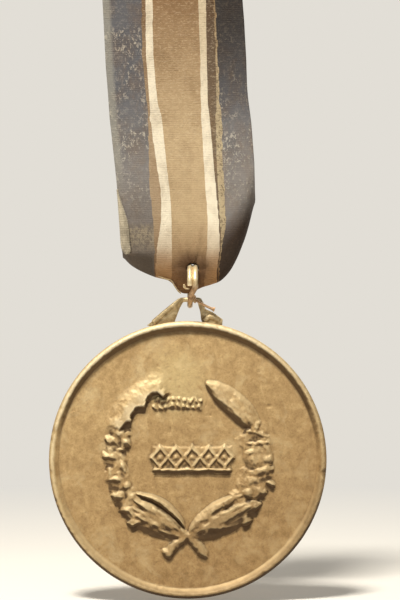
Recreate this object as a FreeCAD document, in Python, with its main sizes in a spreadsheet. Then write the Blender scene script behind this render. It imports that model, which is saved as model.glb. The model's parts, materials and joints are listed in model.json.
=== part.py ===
import FreeCAD, Part
import math
import os

import Sketcher

# Military service medal on its ribbon, hung from a pin brooch.
#
# Frame: the origin is the centre of the disc on the plane its back rests on.
# +Z is up, +X is to the right of a person facing the medal, and the front faces -Y.
# Everything hangs in one plane, half the disc's thickness in front of the origin.
# Every length is in millimetres and every angle in degrees.

Vector = FreeCAD.Vector

DIMENSIONS = [
    # the struck disc
    ("disc_radius", 25.0),
    ("disc_thickness", 3.0),
    ("rim_width", 1.8),
    ("rim_round", 0.6),
    ("field_depth", 1.0),
    ("back_depth", 0.35),
    ("star_tip_radius", 12.0),
    ("star_notch_radius", 4.8),
    ("wreath_radius", 12.3),
    ("leaf_reach", 2.5),
    ("leaf_height", 0.75),
    ("leaf_side_radius", 3.1),
    ("stem_height", 0.6),
    ("tablet_width", 14.6),
    ("tablet_depth", 5.2),
    ("tablet_height", 0.4),
    ("lozenge_size", 1.0),
    ("lozenge_pitch", 2.6),
    ("lozenge_height", 0.3),
    # the lug on the disc's edge
    ("lug_bar_height", 28.85),
    ("lug_bar_radius", 0.4),
    ("lug_bar_left", 1.3),
    ("lug_bar_right", 2.2),
    ("lug_thickness", 1.2),
    # the copper wire bound round the lug's bar
    ("binding_radius", 0.2),
    ("binding_gap", 0.03),
    ("binding_tip_radius", 0.28),
    # the split ring
    ("ring_radius", 3.5),
    ("ring_wire_radius", 0.5),
    ("ring_strand_pitch", 1.05),
    ("ring_strand_place", 0.35),
    ("ring_seat_gap", 0.15),
    # the ribbon
    ("ribbon_width", 25.4),
    ("ribbon_thickness", 0.5),
    ("ribbon_lean", 3.64),
    ("ribbon_rod_gap", 0.1),
    ("fold_tip_height", 29.8),
    ("fold_tip_place", -1.2),
    ("fold_left_rise", 8.2),
    ("fold_right_rise", 13.0),
    ("fold_middle_radius", 1.75),
    ("fold_side_radius", 4.2),
    ("ring_hole_radius", 1.4),
    ("ring_hole_height", 34.4),
    ("seam_start", 3.5),
    ("seam_length", 4.5),
    ("seam_flap", 0.42),
    ("seam_sink", 0.25),
    ("stitch_radius", 0.15),
    ("stitch_length", 1.3),
    ("stitch_pitch", 2.1),
    ("stitch_gap", 0.04),
    ("stitch_inset", 0.8),
    # the brooch
    ("rod_height", 92.0),
    ("rod_radius", 0.8),
    ("rod_clearance", 0.03),
    ("brooch_place", -3.3),
    ("plate_width", 31.0),
    ("plate_depth", 7.6),
    ("plate_thickness", 1.2),
    ("plate_gap", 1.7),
    ("plate_round", 1.0),
    ("panel_inset", 0.9),
    ("panel_depth", 0.3),
    ("bead_radius", 0.9),
    ("bead_pitch", 4.2),
    ("ear_radius", 1.5),
    ("ear_thickness", 1.6),
    # the brooch pin with its hinge and safety catch
    ("needle_radius", 0.45),
    ("needle_length", 22.8),
    ("needle_taper", 4.0),
    ("needle_point", 0.06),
    ("needle_gap", 1.9),
    ("hinge_place", 12.0),
    ("eye_radius", 1.35),
    ("eye_thickness", 1.4),
    ("bracket_half_width", 1.15),
    ("bracket_base", 0.4),
    ("bracket_inner", 0.8),
    ("bracket_outer", 1.3),
    ("rivet_radius", 0.42),
    ("rivet_clearance", 0.05),
    ("rivet_head_radius", 0.8),
    ("rivet_head", 0.35),
    ("catch_place", 8.6),
    ("catch_length", 2.6),
    ("catch_outer_radius", 1.62),
    ("catch_slot", 1.2),
    ("barrel_radius", 1.15),
    ("barrel_clearance", 0.05),
    ("barrel_bore", 0.75),
    ("collar_radius", 1.5),
    ("collar_thickness", 0.4),
    ("collar_gap", 0.05),
    ("barrel_end", 0.7),
    ("thumb_tab_reach", 3.0),
    ("thumb_tab_width", 0.9),
]

WREATH_START = 22          # degrees from the foot of the wreath to its first leaves
LEFT_BRANCH = (10, 160)    # leaf pairs and the angle they cover
RIGHT_BRANCH = (8, 122)
LEAF_SWEEP = 13            # angle a leaf leans along its branch
TABLET_LOZENGES = 5
STAR_POINTS = 5
PLATE_BEADS = 5
RIBBON_STATIONS = 9        # sections across the ribbon's width
RING_TURN = (0, 545)       # first and last angle of the split ring's wire
RING_STEP = (300, 350)     # where its wire steps across to lie beside its first coil

doc = FreeCAD.newDocument("ServiceMedal")
sheet = doc.addObject("Spreadsheet::Sheet", "Dim")
for row, (alias, value) in enumerate(DIMENSIONS, start=1):
    sheet.set(f"A{row}", alias)
    sheet.set(f"B{row}", str(value))
    sheet.setAlias(f"B{row}", alias)
doc.recompute()

HANG_PLANE = "-Dim.disc_thickness / 2"

PARTS = []


# ---------------------------------------------------------------- helpers

def size(formula):
    """Value of a formula over the sheet's cells."""
    return float(sheet.evalExpression(formula))


def place(part, x, y, z):
    """Put a sub-part's own origin at a point of the row's frame, given as formulas."""
    for axis, formula in (("x", x), ("y", y), ("z", z)):
        part.setExpression(f"Placement.Base.{axis}", formula)


def new_body(label):
    """Empty PartDesign body for one sub-part."""
    body = doc.addObject("PartDesign::Body", label)
    body.Label = label
    PARTS.append(body)
    return body


def new_shape(label, shape):
    """Sub-part with a shape of its own, for wound wire and folded cloth."""
    part = doc.addObject("Part::Feature", label)
    part.Label = label
    part.Shape = shape
    PARTS.append(part)
    return part


def origin_feature(body, role):
    """One of the body's own origin planes or axes."""
    return next(item for item in body.Origin.OriginFeatures if item.Role == role)


def new_sketch(body, name, plane, offset="0"):
    """Sketch on an origin plane of the body, moved by offset along the plane's normal."""
    sketch = body.newObject("Sketcher::SketchObject", name)
    sketch.AttachmentSupport = [(origin_feature(body, plane), "")]
    sketch.MapMode = "FlatFace"
    sketch.setExpression("AttachmentOffset.Base.z", offset)
    return sketch


def fix(sketch, kind, geometry, vertex, formula):
    """Hold a coordinate of a vertex at a formula: kind is DistanceX or DistanceY."""
    rule = Sketcher.Constraint(kind, -1, 1, geometry, vertex, size(formula))
    index = sketch.addConstraint(rule)
    sketch.setExpression(f"Constraints[{index}]", formula)


def fix_radius(sketch, geometry, formula):
    """Hold the radius of a circle or an arc at a formula."""
    index = sketch.addConstraint(Sketcher.Constraint("Radius", geometry, size(formula)))
    sketch.setExpression(f"Constraints[{index}]", formula)


def point_at(x, y):
    """Sketch point at two formulas."""
    return Vector(size(x), size(y), 0)


def polygon(sketch, corners):
    """Closed outline with straight sides; each corner is a pair of formulas."""
    points = [point_at(x, y) for x, y in corners]
    first = sketch.GeometryCount
    for start, end in zip(points, points[1:] + points[:1]):
        sketch.addGeometry(Part.LineSegment(start, end), False)
    for index, (x, y) in enumerate(corners):
        following = first + (index + 1) % len(corners)
        sketch.addConstraint(Sketcher.Constraint("Coincident", first + index, 2, following, 1))
        fix(sketch, "DistanceX", first + index, 1, x)
        fix(sketch, "DistanceY", first + index, 1, y)


def rectangle(sketch, left, right, low, high):
    """Upright rectangle between four formulas."""
    polygon(sketch, [(left, low), (right, low), (right, high), (left, high)])


def circle(sketch, radius, x="0", y="0"):
    """Circle of a radius about a centre, all formulas."""
    index = sketch.addGeometry(Part.Circle(point_at(x, y), Vector(0, 0, 1), size(radius)), False)
    fix(sketch, "DistanceX", index, 3, x)
    fix(sketch, "DistanceY", index, 3, y)
    fix_radius(sketch, index, radius)


def leaf(sketch, start, end, side_radius):
    """Leaf outline: two arcs of one radius between two points."""
    tail = point_at(*start)
    head = point_at(*end)
    along = head - tail
    radius = size(side_radius)
    bulge = radius - math.sqrt(radius ** 2 - (along.Length / 2) ** 2)
    across = Vector(-along.y, along.x, 0).normalize() * bulge
    middle = (tail + head) / 2
    for side in (-1, 1):
        arc = Part.ArcOfCircle(*([tail, middle + across * side, head][::-side]))
        index = sketch.addGeometry(arc, False)
        if side < 0:
            near = index
            fix(sketch, "DistanceX", index, 1, start[0])
            fix(sketch, "DistanceY", index, 1, start[1])
            fix(sketch, "DistanceX", index, 2, end[0])
            fix(sketch, "DistanceY", index, 2, end[1])
        else:
            sketch.addConstraint(Sketcher.Constraint("Coincident", near, 1, index, 2))
            sketch.addConstraint(Sketcher.Constraint("Coincident", near, 2, index, 1))
        fix_radius(sketch, index, side_radius)


def add_pad(body, sketch, length, symmetric=False, reverse=False):
    """Pad a sketch along its normal, against it, or half each way."""
    pad = body.newObject("PartDesign::Pad", sketch.Name + "_pad")
    pad.Profile = sketch
    pad.SideType = "Symmetric" if symmetric else "One side"
    pad.Reversed = reverse
    pad.setExpression("Length", length)
    body.Tip = pad
    doc.recompute()
    return pad


def add_pocket(body, sketch, length=None, symmetric=False, reverse=False):
    """Cut a sketch through the body, or to a length, and make sure that it removes material."""
    before = body.Shape.Volume
    pocket = body.newObject("PartDesign::Pocket", sketch.Name + "_pocket")
    pocket.Profile = sketch
    pocket.Reversed = reverse
    pocket.SideType = "Symmetric" if symmetric else "One side"
    if length is None:
        pocket.Type = "ThroughAll"
    else:
        pocket.setExpression("Length", length)
    body.Tip = pocket
    doc.recompute()
    if body.Shape.Volume > before - 1e-4:
        raise RuntimeError(pocket.Name + " cuts nothing")
    return pocket


def add_revolution(body, sketch, axis):
    """Turn a sketch once round one of the body's axes."""
    revolution = body.newObject("PartDesign::Revolution", sketch.Name + "_turned")
    revolution.Profile = sketch
    revolution.ReferenceAxis = (origin_feature(body, axis), [""])
    revolution.Angle = 360
    body.Tip = revolution
    doc.recompute()
    return revolution


def add_mirror(body, features, plane):
    """Mirror features in one of the body's origin planes."""
    mirror = body.newObject("PartDesign::Mirrored", features[0].Name + "_mirrored")
    mirror.Originals = features
    mirror.MirrorPlane = (origin_feature(body, plane), [""])
    body.Tip = mirror
    doc.recompute()
    return mirror


def add_row(body, feature, count, length, axis="X_Axis"):
    """Repeat a feature in a straight row that covers a length."""
    row = body.newObject("PartDesign::LinearPattern", feature.Name + "_row")
    row.Originals = [feature]
    row.Direction = (origin_feature(body, axis), [""])
    row.setExpression("Length", length)
    row.Occurrences = count
    body.Tip = row
    doc.recompute()
    return row


def add_fillet(body, radius, chosen):
    """Round the edges of the body that a test picks."""
    base = body.Tip
    names = [f"Edge{number}" for number, edge in enumerate(base.Shape.Edges, start=1) if chosen(edge)]
    fillet = body.newObject("PartDesign::Fillet", body.Name + "_rounding")
    fillet.Base = (base, names)
    fillet.setExpression("Radius", radius)
    body.Tip = fillet
    doc.recompute()
    return fillet


# ---------------------------------------------------------------- medal

def add_branch(body, name, side, pairs, sweep):
    """One branch of the wreath: pairs of leaves that repeat round the disc's axis."""
    foot = f"{WREATH_START} deg"
    head = f"{WREATH_START + LEAF_SWEEP} deg"
    field = "Dim.disc_thickness - Dim.field_depth"
    sketch = new_sketch(body, name, "XZ_Plane", field)
    for reach in ("+ Dim.leaf_reach", "- Dim.leaf_reach"):
        start = f"(Dim.wreath_radius {reach} / 8)"
        end = f"(Dim.wreath_radius {reach})"
        leaf(sketch,
             (f"{side} * {start} * sin({foot})", f"-{start} * cos({foot})"),
             (f"{side} * {end} * sin({head})", f"-{end} * cos({head})"),
             "Dim.leaf_side_radius")
    pad = add_pad(body, sketch, "Dim.leaf_height")
    branch = body.newObject("PartDesign::PolarPattern", name + "_branch")
    branch.Originals = [pad]
    branch.Axis = (origin_feature(body, "Y_Axis"), [""])
    branch.Reversed = side > 0
    branch.Angle = sweep
    branch.Occurrences = pairs
    body.Tip = branch
    doc.recompute()


def make_medal_disc():
    """Struck disc: raised rim, sunk field, open wreath, plain tablet and a star on the back."""
    body = new_body("medal_disc")
    inner = "Dim.disc_radius - Dim.rim_width"
    section = new_sketch(body, "disc_section", "YZ_Plane")
    polygon(section, [
        ("-Dim.back_depth", "0"),
        ("-Dim.back_depth", inner),
        ("0", inner),
        ("0", "Dim.disc_radius"),
        ("-Dim.disc_thickness", "Dim.disc_radius"),
        ("-Dim.disc_thickness", inner),
        ("Dim.field_depth - Dim.disc_thickness", inner),
        ("Dim.field_depth - Dim.disc_thickness", "0"),
    ])
    add_revolution(body, section, "Y_Axis")
    front = -size("Dim.disc_thickness")
    add_fillet(body, "Dim.rim_round",
               lambda edge: abs(edge.BoundBox.YMin - front) < 1e-6 and edge.BoundBox.YLength < 1e-6)

    star = new_sketch(body, "star", "XZ_Plane", "Dim.back_depth")
    corners = []
    for step in range(2 * STAR_POINTS):
        reach = "Dim.star_notch_radius" if step % 2 else "Dim.star_tip_radius"
        turn = f"{90 + 180 * step / STAR_POINTS} deg"
        corners.append((f"{reach} * cos({turn})", f"{reach} * sin({turn})"))
    polygon(star, corners)
    add_pad(body, star, "Dim.back_depth", reverse=True)

    add_branch(body, "left_leaves", -1, *LEFT_BRANCH)
    add_branch(body, "right_leaves", 1, *RIGHT_BRANCH)

    field = "Dim.disc_thickness - Dim.field_depth"
    stem = new_sketch(body, "stem", "XZ_Plane", field)
    polygon(stem, [
        ("-Dim.leaf_reach * 1.8", "-Dim.wreath_radius - Dim.leaf_reach * 1.9"),
        ("-Dim.leaf_reach * 1.2", "-Dim.wreath_radius - Dim.leaf_reach * 2.1"),
        ("Dim.leaf_reach", "-Dim.wreath_radius + Dim.leaf_reach * 0.1"),
        ("Dim.leaf_reach * 0.6", "-Dim.wreath_radius + Dim.leaf_reach * 0.4"),
    ])
    stem_pad = add_pad(body, stem, "Dim.stem_height")
    add_mirror(body, [stem_pad], "YZ_Plane")

    tablet = new_sketch(body, "tablet", "XZ_Plane", field)
    rectangle(tablet, "-Dim.tablet_width / 2", "Dim.tablet_width / 2",
              "-Dim.tablet_depth / 2", "Dim.tablet_depth / 2")
    add_pad(body, tablet, "Dim.tablet_height")
    lozenge = new_sketch(body, "lozenge", "XZ_Plane", field + " + Dim.tablet_height")
    first = f"-Dim.lozenge_pitch * {(TABLET_LOZENGES - 1) / 2}"
    polygon(lozenge, [
        (first + " - Dim.lozenge_size", "0"),
        (first, "-Dim.lozenge_size * 1.5"),
        (first + " + Dim.lozenge_size", "0"),
        (first, "Dim.lozenge_size * 1.5"),
    ])
    lozenge_pad = add_pad(body, lozenge, "Dim.lozenge_height")
    add_row(body, lozenge_pad, TABLET_LOZENGES, f"Dim.lozenge_pitch * {TABLET_LOZENGES - 1}")


def make_suspension_lug():
    """Open triangular lug: a round bar on two spreading legs that end on the disc's edge."""
    body = new_body("suspension_lug")
    place(body, "0", HANG_PLANE, "Dim.lug_bar_height")
    left = "-Dim.lug_bar_left"
    right = "Dim.lug_bar_right"
    legs = new_sketch(body, "legs", "XZ_Plane")
    polygon(legs, [
        (left + " * 4.7", "-4.9"),
        (left + " * 1.7", "-4.9"),
        (left + " * 1.7", "-3.9"),
        (left + " + 0.4", "-Dim.lug_bar_radius"),
        (left + " + 0.4", "Dim.lug_bar_radius * 0.8"),
        (left, "Dim.lug_bar_radius * 0.8"),
        (left + " * 4.4", "-3.7"),
    ])
    polygon(legs, [
        (right + " * 1.2", "-4.9"),
        (right + " * 2.8", "-4.9"),
        (right + " * 2.7", "-4.1"),
        (right + " * 1.9", "-2.3"),
        (right + " * 1.1", "Dim.lug_bar_radius * 0.8"),
        (right + " - 0.4", "Dim.lug_bar_radius * 0.8"),
        (right + " - 0.4", "-Dim.lug_bar_radius"),
        (right + " * 1.2", "-3.9"),
    ])
    add_pad(body, legs, "Dim.lug_thickness", symmetric=True)
    bar = new_sketch(body, "bar", "YZ_Plane", left)
    circle(bar, "Dim.lug_bar_radius")
    add_pad(body, bar, "Dim.lug_bar_left + Dim.lug_bar_right")
    seat = new_sketch(body, "seat", "XZ_Plane")
    circle(seat, "Dim.disc_radius", "0", "-Dim.lug_bar_height")
    add_pocket(body, seat, "Dim.lug_thickness * 2", symmetric=True)


def make_binding_wire():
    """Copper wire hooked over the lug's bar, with a flattened tail that lies on the right leg."""
    wire = size("Dim.binding_radius")
    winding = size("Dim.lug_bar_radius + Dim.binding_radius + Dim.binding_gap")
    front = -size("Dim.lug_thickness / 2 + Dim.binding_radius * 1.6")
    start = size("Dim.lug_bar_right") - 1.0
    turns = [230, 200, 170, 140, 110, 80, 50, 20]
    points = []
    for number, turn in enumerate(turns):
        around = math.radians(turn)
        points.append(Vector(start + 0.02 * number, -winding * math.cos(around), winding * math.sin(around)))
    points.append(Vector(start + 0.35, front, -0.1))
    points.append(Vector(start + 1.1, front, -0.55))
    points.append(Vector(start + 2.2, front, -1.15))
    points.append(Vector(start + 3.4, front, -1.75))
    shape = swept_wire(points, wire)
    shape = shape.fuse(Part.makeSphere(size("Dim.binding_tip_radius"), points[-1]))
    part = new_shape("binding_wire", shape)
    place(part, "0", HANG_PLANE, "Dim.lug_bar_height")


def swept_wire(points, radius):
    """Round wire of a radius along a smooth curve through points."""
    curve = Part.BSplineCurve()
    curve.interpolate(points)
    path = Part.Wire([curve.toShape()])
    start = Part.Circle(points[0], curve.tangent(curve.FirstParameter)[0], radius)
    return path.makePipeShell([Part.Wire([start.toShape()])], True, False)


def make_split_ring():
    """Ring of one and a half turns of wire: two coils side by side above, one below."""
    radius = size("Dim.ring_radius")
    pitch = size("Dim.ring_strand_pitch")
    first, last = RING_TURN
    step_start, step_end = RING_STEP
    points = []
    for turn in range(first, last + 1, 5):
        share = min(1.0, max(0.0, (turn - step_start) / (step_end - step_start)))
        shift = pitch * share * share * (3 - 2 * share)
        around = math.radians(turn)
        points.append(Vector(shift, -radius * math.cos(around), radius * math.sin(around)))
    part = new_shape("split_ring", swept_wire(points, size("Dim.ring_wire_radius")))
    seat = "Dim.lug_bar_height - Dim.lug_bar_radius - Dim.ring_seat_gap"
    place(part, "Dim.ring_strand_place", HANG_PLANE,
          seat + " - Dim.ring_wire_radius + Dim.ring_radius")


# ---------------------------------------------------------------- ribbon

def fold_at(across):
    """Depth of the fold below the rod and its radius, at a place across the ribbon."""
    half = size("Dim.ribbon_width / 2")
    tip = size("Dim.fold_tip_place")
    reach = half + tip if across < tip else half - tip
    share = abs(across - tip) / reach
    rise = size("Dim.fold_left_rise" if across < tip else "Dim.fold_right_rise")
    bottom = size("Dim.fold_tip_height") + rise * share ** 1.5
    growth = size("Dim.fold_side_radius - Dim.fold_middle_radius")
    radius = size("Dim.fold_middle_radius") + growth * min(1.0, abs(across - tip) / half) ** 1.5
    return size("Dim.rod_height") - bottom - radius, radius


def loop_frame(across):
    """Radii, drop and side normal of the ribbon's outer face at a place across it."""
    top = size("Dim.rod_radius + Dim.ribbon_rod_gap + Dim.ribbon_thickness")
    drop, fold = fold_at(across)
    lean = math.asin((fold - top) / drop)
    return top, fold, drop, lean


def loop_section(across, inset):
    """Section of the ribbon's loop: round the rod, down both sides and round the fold."""
    top, fold, drop, lean = loop_frame(across)
    top -= inset
    fold -= inset
    out, up = math.cos(lean), math.sin(lean)
    back_top = Vector(across, top * out, top * up)
    front_top = Vector(across, -top * out, top * up)
    back_fold = Vector(across, fold * out, fold * up - drop)
    front_fold = Vector(across, -fold * out, fold * up - drop)
    over = Part.Arc(back_top, Vector(across, 0, top), front_top)
    under = Part.Arc(front_fold, Vector(across, 0, -drop - fold), back_fold)
    front = Part.LineSegment(front_top, front_fold)
    back = Part.LineSegment(back_fold, back_top)
    return Part.Wire([edge.toShape() for edge in (over, front, under, back)])


def on_back(across, down, out):
    """Point on the ribbon's back at a distance down from the rod and out from the outer face."""
    top, _, _, lean = loop_frame(across)
    reach = top + out
    return Vector(across,
                  reach * math.cos(lean) + down * math.sin(lean),
                  reach * math.sin(lean) - down * math.cos(lean))


def leaning(shape):
    """Shear a shape so that the ribbon hangs aslant from its level rod."""
    shear = FreeCAD.Matrix()
    shear.A13 = -math.tan(math.radians(size("Dim.ribbon_lean")))
    return shape.transformGeometry(shear)


def make_ribbon():
    """One strip of woven ribbon: over the rod, down, through the ring, up and sewn behind."""
    half = size("Dim.ribbon_width / 2")
    spread = [half * (2 * step / (RIBBON_STATIONS - 1) - 1) for step in range(RIBBON_STATIONS)]
    beyond = half * 1.02
    outer = Part.makeLoft([loop_section(across, 0) for across in spread], True, False)
    thickness = size("Dim.ribbon_thickness")
    wider = [-beyond] + spread[1:-1] + [beyond]
    inner = Part.makeLoft([loop_section(across, thickness) for across in wider], True, False)
    loop = outer.cut(inner)

    start = size("Dim.seam_start")
    end = start + size("Dim.seam_length")
    sink = -size("Dim.seam_sink")
    flap = size("Dim.seam_flap")
    sections = []
    for across in spread:
        corners = [on_back(across, *corner)
                   for corner in ((start, sink), (start, flap), (end, flap), (end, sink))]
        sections.append(Part.makePolygon(corners + corners[:1]))
    loop = leaning(loop.fuse(Part.makeLoft(sections, True, False)))

    hole = Part.makeCylinder(size("Dim.ring_hole_radius"), 30,
                             Vector(hole_place(), -15, size("Dim.ring_hole_height - Dim.rod_height")),
                             Vector(0, 1, 0))
    part = new_shape("ribbon", loop.cut(hole))
    place(part, "Dim.brooch_place", HANG_PLANE, "Dim.rod_height")


def hole_place():
    """Place across the brooch of the holes that the ring's two coils pass."""
    return size("Dim.ring_strand_place + Dim.ring_strand_pitch / 2 - Dim.brooch_place")


def make_seam_thread():
    """Two rows of stitches that close the ribbon's loop on its back."""
    radius = size("Dim.stitch_radius")
    length = size("Dim.stitch_length")
    pitch = size("Dim.stitch_pitch")
    out = size("Dim.seam_flap + Dim.stitch_radius + Dim.stitch_gap")
    inset = size("Dim.stitch_inset")
    rows = (size("Dim.seam_start") + inset, size("Dim.seam_start + Dim.seam_length") - inset)
    count = int((size("Dim.ribbon_width") - length) / pitch)
    slant = math.tan(math.radians(size("Dim.ribbon_lean")))
    stitches = []
    for down in rows:
        for number in range(count + 1):
            middle = on_back((number - count / 2) * pitch, down, out)
            start = Vector(middle.x - slant * middle.z - length / 2, middle.y, middle.z)
            stitches.append(Part.makeCylinder(radius, length, start, Vector(1, 0, 0)))
    part = new_shape("seam_thread", Part.makeCompound(stitches))
    place(part, "Dim.brooch_place", HANG_PLANE, "Dim.rod_height")


# ---------------------------------------------------------------- brooch

def make_brooch_plate():
    """Front plate of the brooch: a framed panel with a row of beads, and two ears for the rod."""
    body = new_body("brooch_plate")
    place(body, "Dim.brooch_place", HANG_PLANE, "Dim.rod_height")
    half = "Dim.plate_width / 2"
    top = "Dim.plate_gap + Dim.plate_depth"
    outline = new_sketch(body, "plate_outline", "XZ_Plane")
    rectangle(outline, "-" + half, half, "Dim.plate_gap", top)
    add_pad(body, outline, "Dim.plate_thickness", symmetric=True)
    add_fillet(body, "Dim.plate_round",
               lambda edge: edge.BoundBox.YLength > size("Dim.plate_thickness") - 1e-6)
    panel = new_sketch(body, "panel", "XZ_Plane", "Dim.plate_thickness / 2")
    rectangle(panel, f"-{half} + Dim.panel_inset", f"{half} - Dim.panel_inset",
              "Dim.plate_gap + Dim.panel_inset", top + " - Dim.panel_inset")
    add_pocket(body, panel, "Dim.panel_depth")

    bead = new_sketch(body, "bead", "XZ_Plane", "Dim.plate_thickness / 2 - Dim.panel_depth")
    circle(bead, "Dim.bead_radius", f"-Dim.bead_pitch * {(PLATE_BEADS - 1) / 2}",
           "Dim.plate_gap + Dim.plate_depth / 2")
    bead_pad = add_pad(body, bead, "Dim.panel_depth")
    add_row(body, bead_pad, PLATE_BEADS, f"Dim.bead_pitch * {PLATE_BEADS - 1}")

    inside = half + " - Dim.ear_thickness"
    ear = new_sketch(body, "ear", "YZ_Plane", inside)
    circle(ear, "Dim.ear_radius")
    ear_pad = add_pad(body, ear, "Dim.ear_thickness")
    neck = new_sketch(body, "ear_neck", "YZ_Plane", inside)
    rectangle(neck, "-Dim.plate_thickness / 2", "Dim.plate_thickness / 2",
              "0", "Dim.plate_gap + Dim.plate_round")
    neck_pad = add_pad(body, neck, "Dim.ear_thickness")
    add_mirror(body, [ear_pad, neck_pad], "YZ_Plane")
    bore = new_sketch(body, "rod_bore", "YZ_Plane")
    circle(bore, "Dim.rod_radius + Dim.rod_clearance")
    add_pocket(body, bore, "Dim.plate_width * 2", symmetric=True)


def make_ribbon_rod():
    """Plain rod between the ears, which the ribbon hangs from."""
    body = new_body("ribbon_rod")
    place(body, "Dim.brooch_place", HANG_PLANE, "Dim.rod_height")
    end = new_sketch(body, "rod_end", "YZ_Plane")
    circle(end, "Dim.rod_radius")
    add_pad(body, end, "Dim.plate_width", symmetric=True)


def place_on_needle(part, x):
    """Put a sub-part's origin on the needle's axis behind the plate."""
    place(part, "Dim.brooch_place + " + x,
          HANG_PLANE + " + Dim.plate_thickness / 2 + Dim.needle_gap",
          "Dim.rod_height + Dim.plate_gap + Dim.plate_depth / 2")


def make_hinge_bracket():
    """Bracket on the plate's back: a base and two cheeks that hold the needle's rivet."""
    body = new_body("hinge_bracket")
    place_on_needle(body, "-Dim.hinge_place")
    base = new_sketch(body, "base", "XZ_Plane", "Dim.needle_gap")
    rectangle(base, "-Dim.bracket_half_width", "Dim.bracket_half_width",
              "-Dim.bracket_outer * 1.3", "Dim.bracket_outer * 1.3")
    add_pad(body, base, "Dim.bracket_base", reverse=True)
    post = new_sketch(body, "cheek_post", "XY_Plane", "Dim.bracket_inner")
    rectangle(post, "-Dim.bracket_half_width", "Dim.bracket_half_width", "-Dim.needle_gap", "0")
    post_pad = add_pad(body, post, "Dim.bracket_outer - Dim.bracket_inner")
    eye = new_sketch(body, "cheek_eye", "XY_Plane", "Dim.bracket_inner")
    circle(eye, "Dim.bracket_half_width")
    eye_pad = add_pad(body, eye, "Dim.bracket_outer - Dim.bracket_inner")
    add_mirror(body, [post_pad, eye_pad], "XY_Plane")
    bore = new_sketch(body, "rivet_bore", "XY_Plane")
    circle(bore, "Dim.rivet_radius + Dim.rivet_clearance")
    add_pocket(body, bore, "Dim.bracket_outer * 4", symmetric=True)


def make_hinge_rivet():
    """Headed rivet through the bracket's cheeks and the needle's eye."""
    body = new_body("hinge_rivet")
    place_on_needle(body, "-Dim.hinge_place")
    under = "Dim.bracket_outer + Dim.collar_gap"
    top = under + " + Dim.rivet_head"
    section = new_sketch(body, "rivet_section", "XZ_Plane")
    polygon(section, [
        ("0", f"-({top})"),
        ("Dim.rivet_head_radius", f"-({top})"),
        ("Dim.rivet_head_radius", f"-({under})"),
        ("Dim.rivet_radius", f"-({under})"),
        ("Dim.rivet_radius", under),
        ("Dim.rivet_head_radius", under),
        ("Dim.rivet_head_radius", top),
        ("0", top),
    ])
    add_revolution(body, section, "Z_Axis")


def make_brooch_needle():
    """Needle with a flat eye at the rivet and a tapered point in the catch."""
    body = new_body("brooch_needle")
    place_on_needle(body, "-Dim.hinge_place")
    eye = new_sketch(body, "needle_eye", "XY_Plane")
    circle(eye, "Dim.eye_radius")
    add_pad(body, eye, "Dim.eye_thickness", symmetric=True)
    shaft = new_sketch(body, "needle_section", "XZ_Plane")
    start = "Dim.eye_radius * 0.8"
    polygon(shaft, [
        (start, "0"),
        ("Dim.needle_length", "0"),
        ("Dim.needle_length", "Dim.needle_point"),
        ("Dim.needle_length - Dim.needle_taper", "Dim.needle_radius"),
        (start, "Dim.needle_radius"),
    ])
    add_revolution(body, shaft, "X_Axis")
    bore = new_sketch(body, "eye_bore", "XY_Plane")
    circle(bore, "Dim.rivet_radius + Dim.rivet_clearance")
    add_pocket(body, bore, "Dim.eye_thickness * 2", symmetric=True)


def make_catch_base():
    """Fixed half of the catch: a split tube on a foot, open away from the plate."""
    body = new_body("catch_base")
    place_on_needle(body, "Dim.catch_place")
    foot = new_sketch(body, "catch_foot", "YZ_Plane")
    rectangle(foot, "-Dim.needle_gap", "0", "-Dim.barrel_radius", "Dim.barrel_radius")
    add_pad(body, foot, "Dim.catch_length")
    tube = new_sketch(body, "catch_tube", "YZ_Plane")
    circle(tube, "Dim.catch_outer_radius")
    add_pad(body, tube, "Dim.catch_length")
    bore = new_sketch(body, "catch_bore", "YZ_Plane")
    circle(bore, "Dim.barrel_radius + Dim.barrel_clearance")
    add_pocket(body, bore, "Dim.catch_length * 3", symmetric=True)
    slot = new_sketch(body, "catch_mouth", "YZ_Plane")
    rectangle(slot, "0", "Dim.catch_outer_radius * 2", "-Dim.catch_slot / 2", "Dim.catch_slot / 2")
    add_pocket(body, slot, "Dim.catch_length * 3", symmetric=True)


def make_catch_barrel():
    """Turning half of the catch: a slotted barrel with a collar at each end and a thumb tab."""
    body = new_body("catch_barrel")
    place_on_needle(body, "Dim.catch_place")
    left = "-Dim.collar_gap"
    right = "Dim.catch_length + Dim.collar_gap"
    end = right + " + Dim.barrel_end"
    section = new_sketch(body, "barrel_section", "XZ_Plane")
    polygon(section, [
        (left + " - Dim.collar_thickness", "Dim.barrel_bore"),
        ("Dim.catch_length", "Dim.barrel_bore"),
        ("Dim.catch_length", "0"),
        (end, "0"),
        (end, "Dim.collar_radius"),
        (right, "Dim.collar_radius"),
        (right, "Dim.barrel_radius"),
        (left, "Dim.barrel_radius"),
        (left, "Dim.collar_radius"),
        (left + " - Dim.collar_thickness", "Dim.collar_radius"),
    ])
    add_revolution(body, section, "X_Axis")
    tab = new_sketch(body, "thumb_tab", "YZ_Plane", right)
    rectangle(tab, "-Dim.thumb_tab_width / 2", "Dim.thumb_tab_width / 2",
              "-Dim.thumb_tab_reach", "-Dim.barrel_bore")
    add_pad(body, tab, "Dim.barrel_end")
    slot = new_sketch(body, "barrel_slot", "YZ_Plane", "-Dim.collar_thickness * 2")
    rectangle(slot, "0", "Dim.collar_radius * 2", "-Dim.catch_slot / 2", "Dim.catch_slot / 2")
    add_pocket(body, slot, "Dim.catch_length + Dim.collar_thickness * 2", reverse=True)


# ---------------------------------------------------------------- build and write

make_medal_disc()
make_suspension_lug()
make_binding_wire()
make_split_ring()
make_ribbon()
make_seam_thread()
make_brooch_plate()
make_ribbon_rod()
make_hinge_bracket()
make_hinge_rivet()
make_brooch_needle()
make_catch_base()
make_catch_barrel()
doc.recompute()

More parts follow.
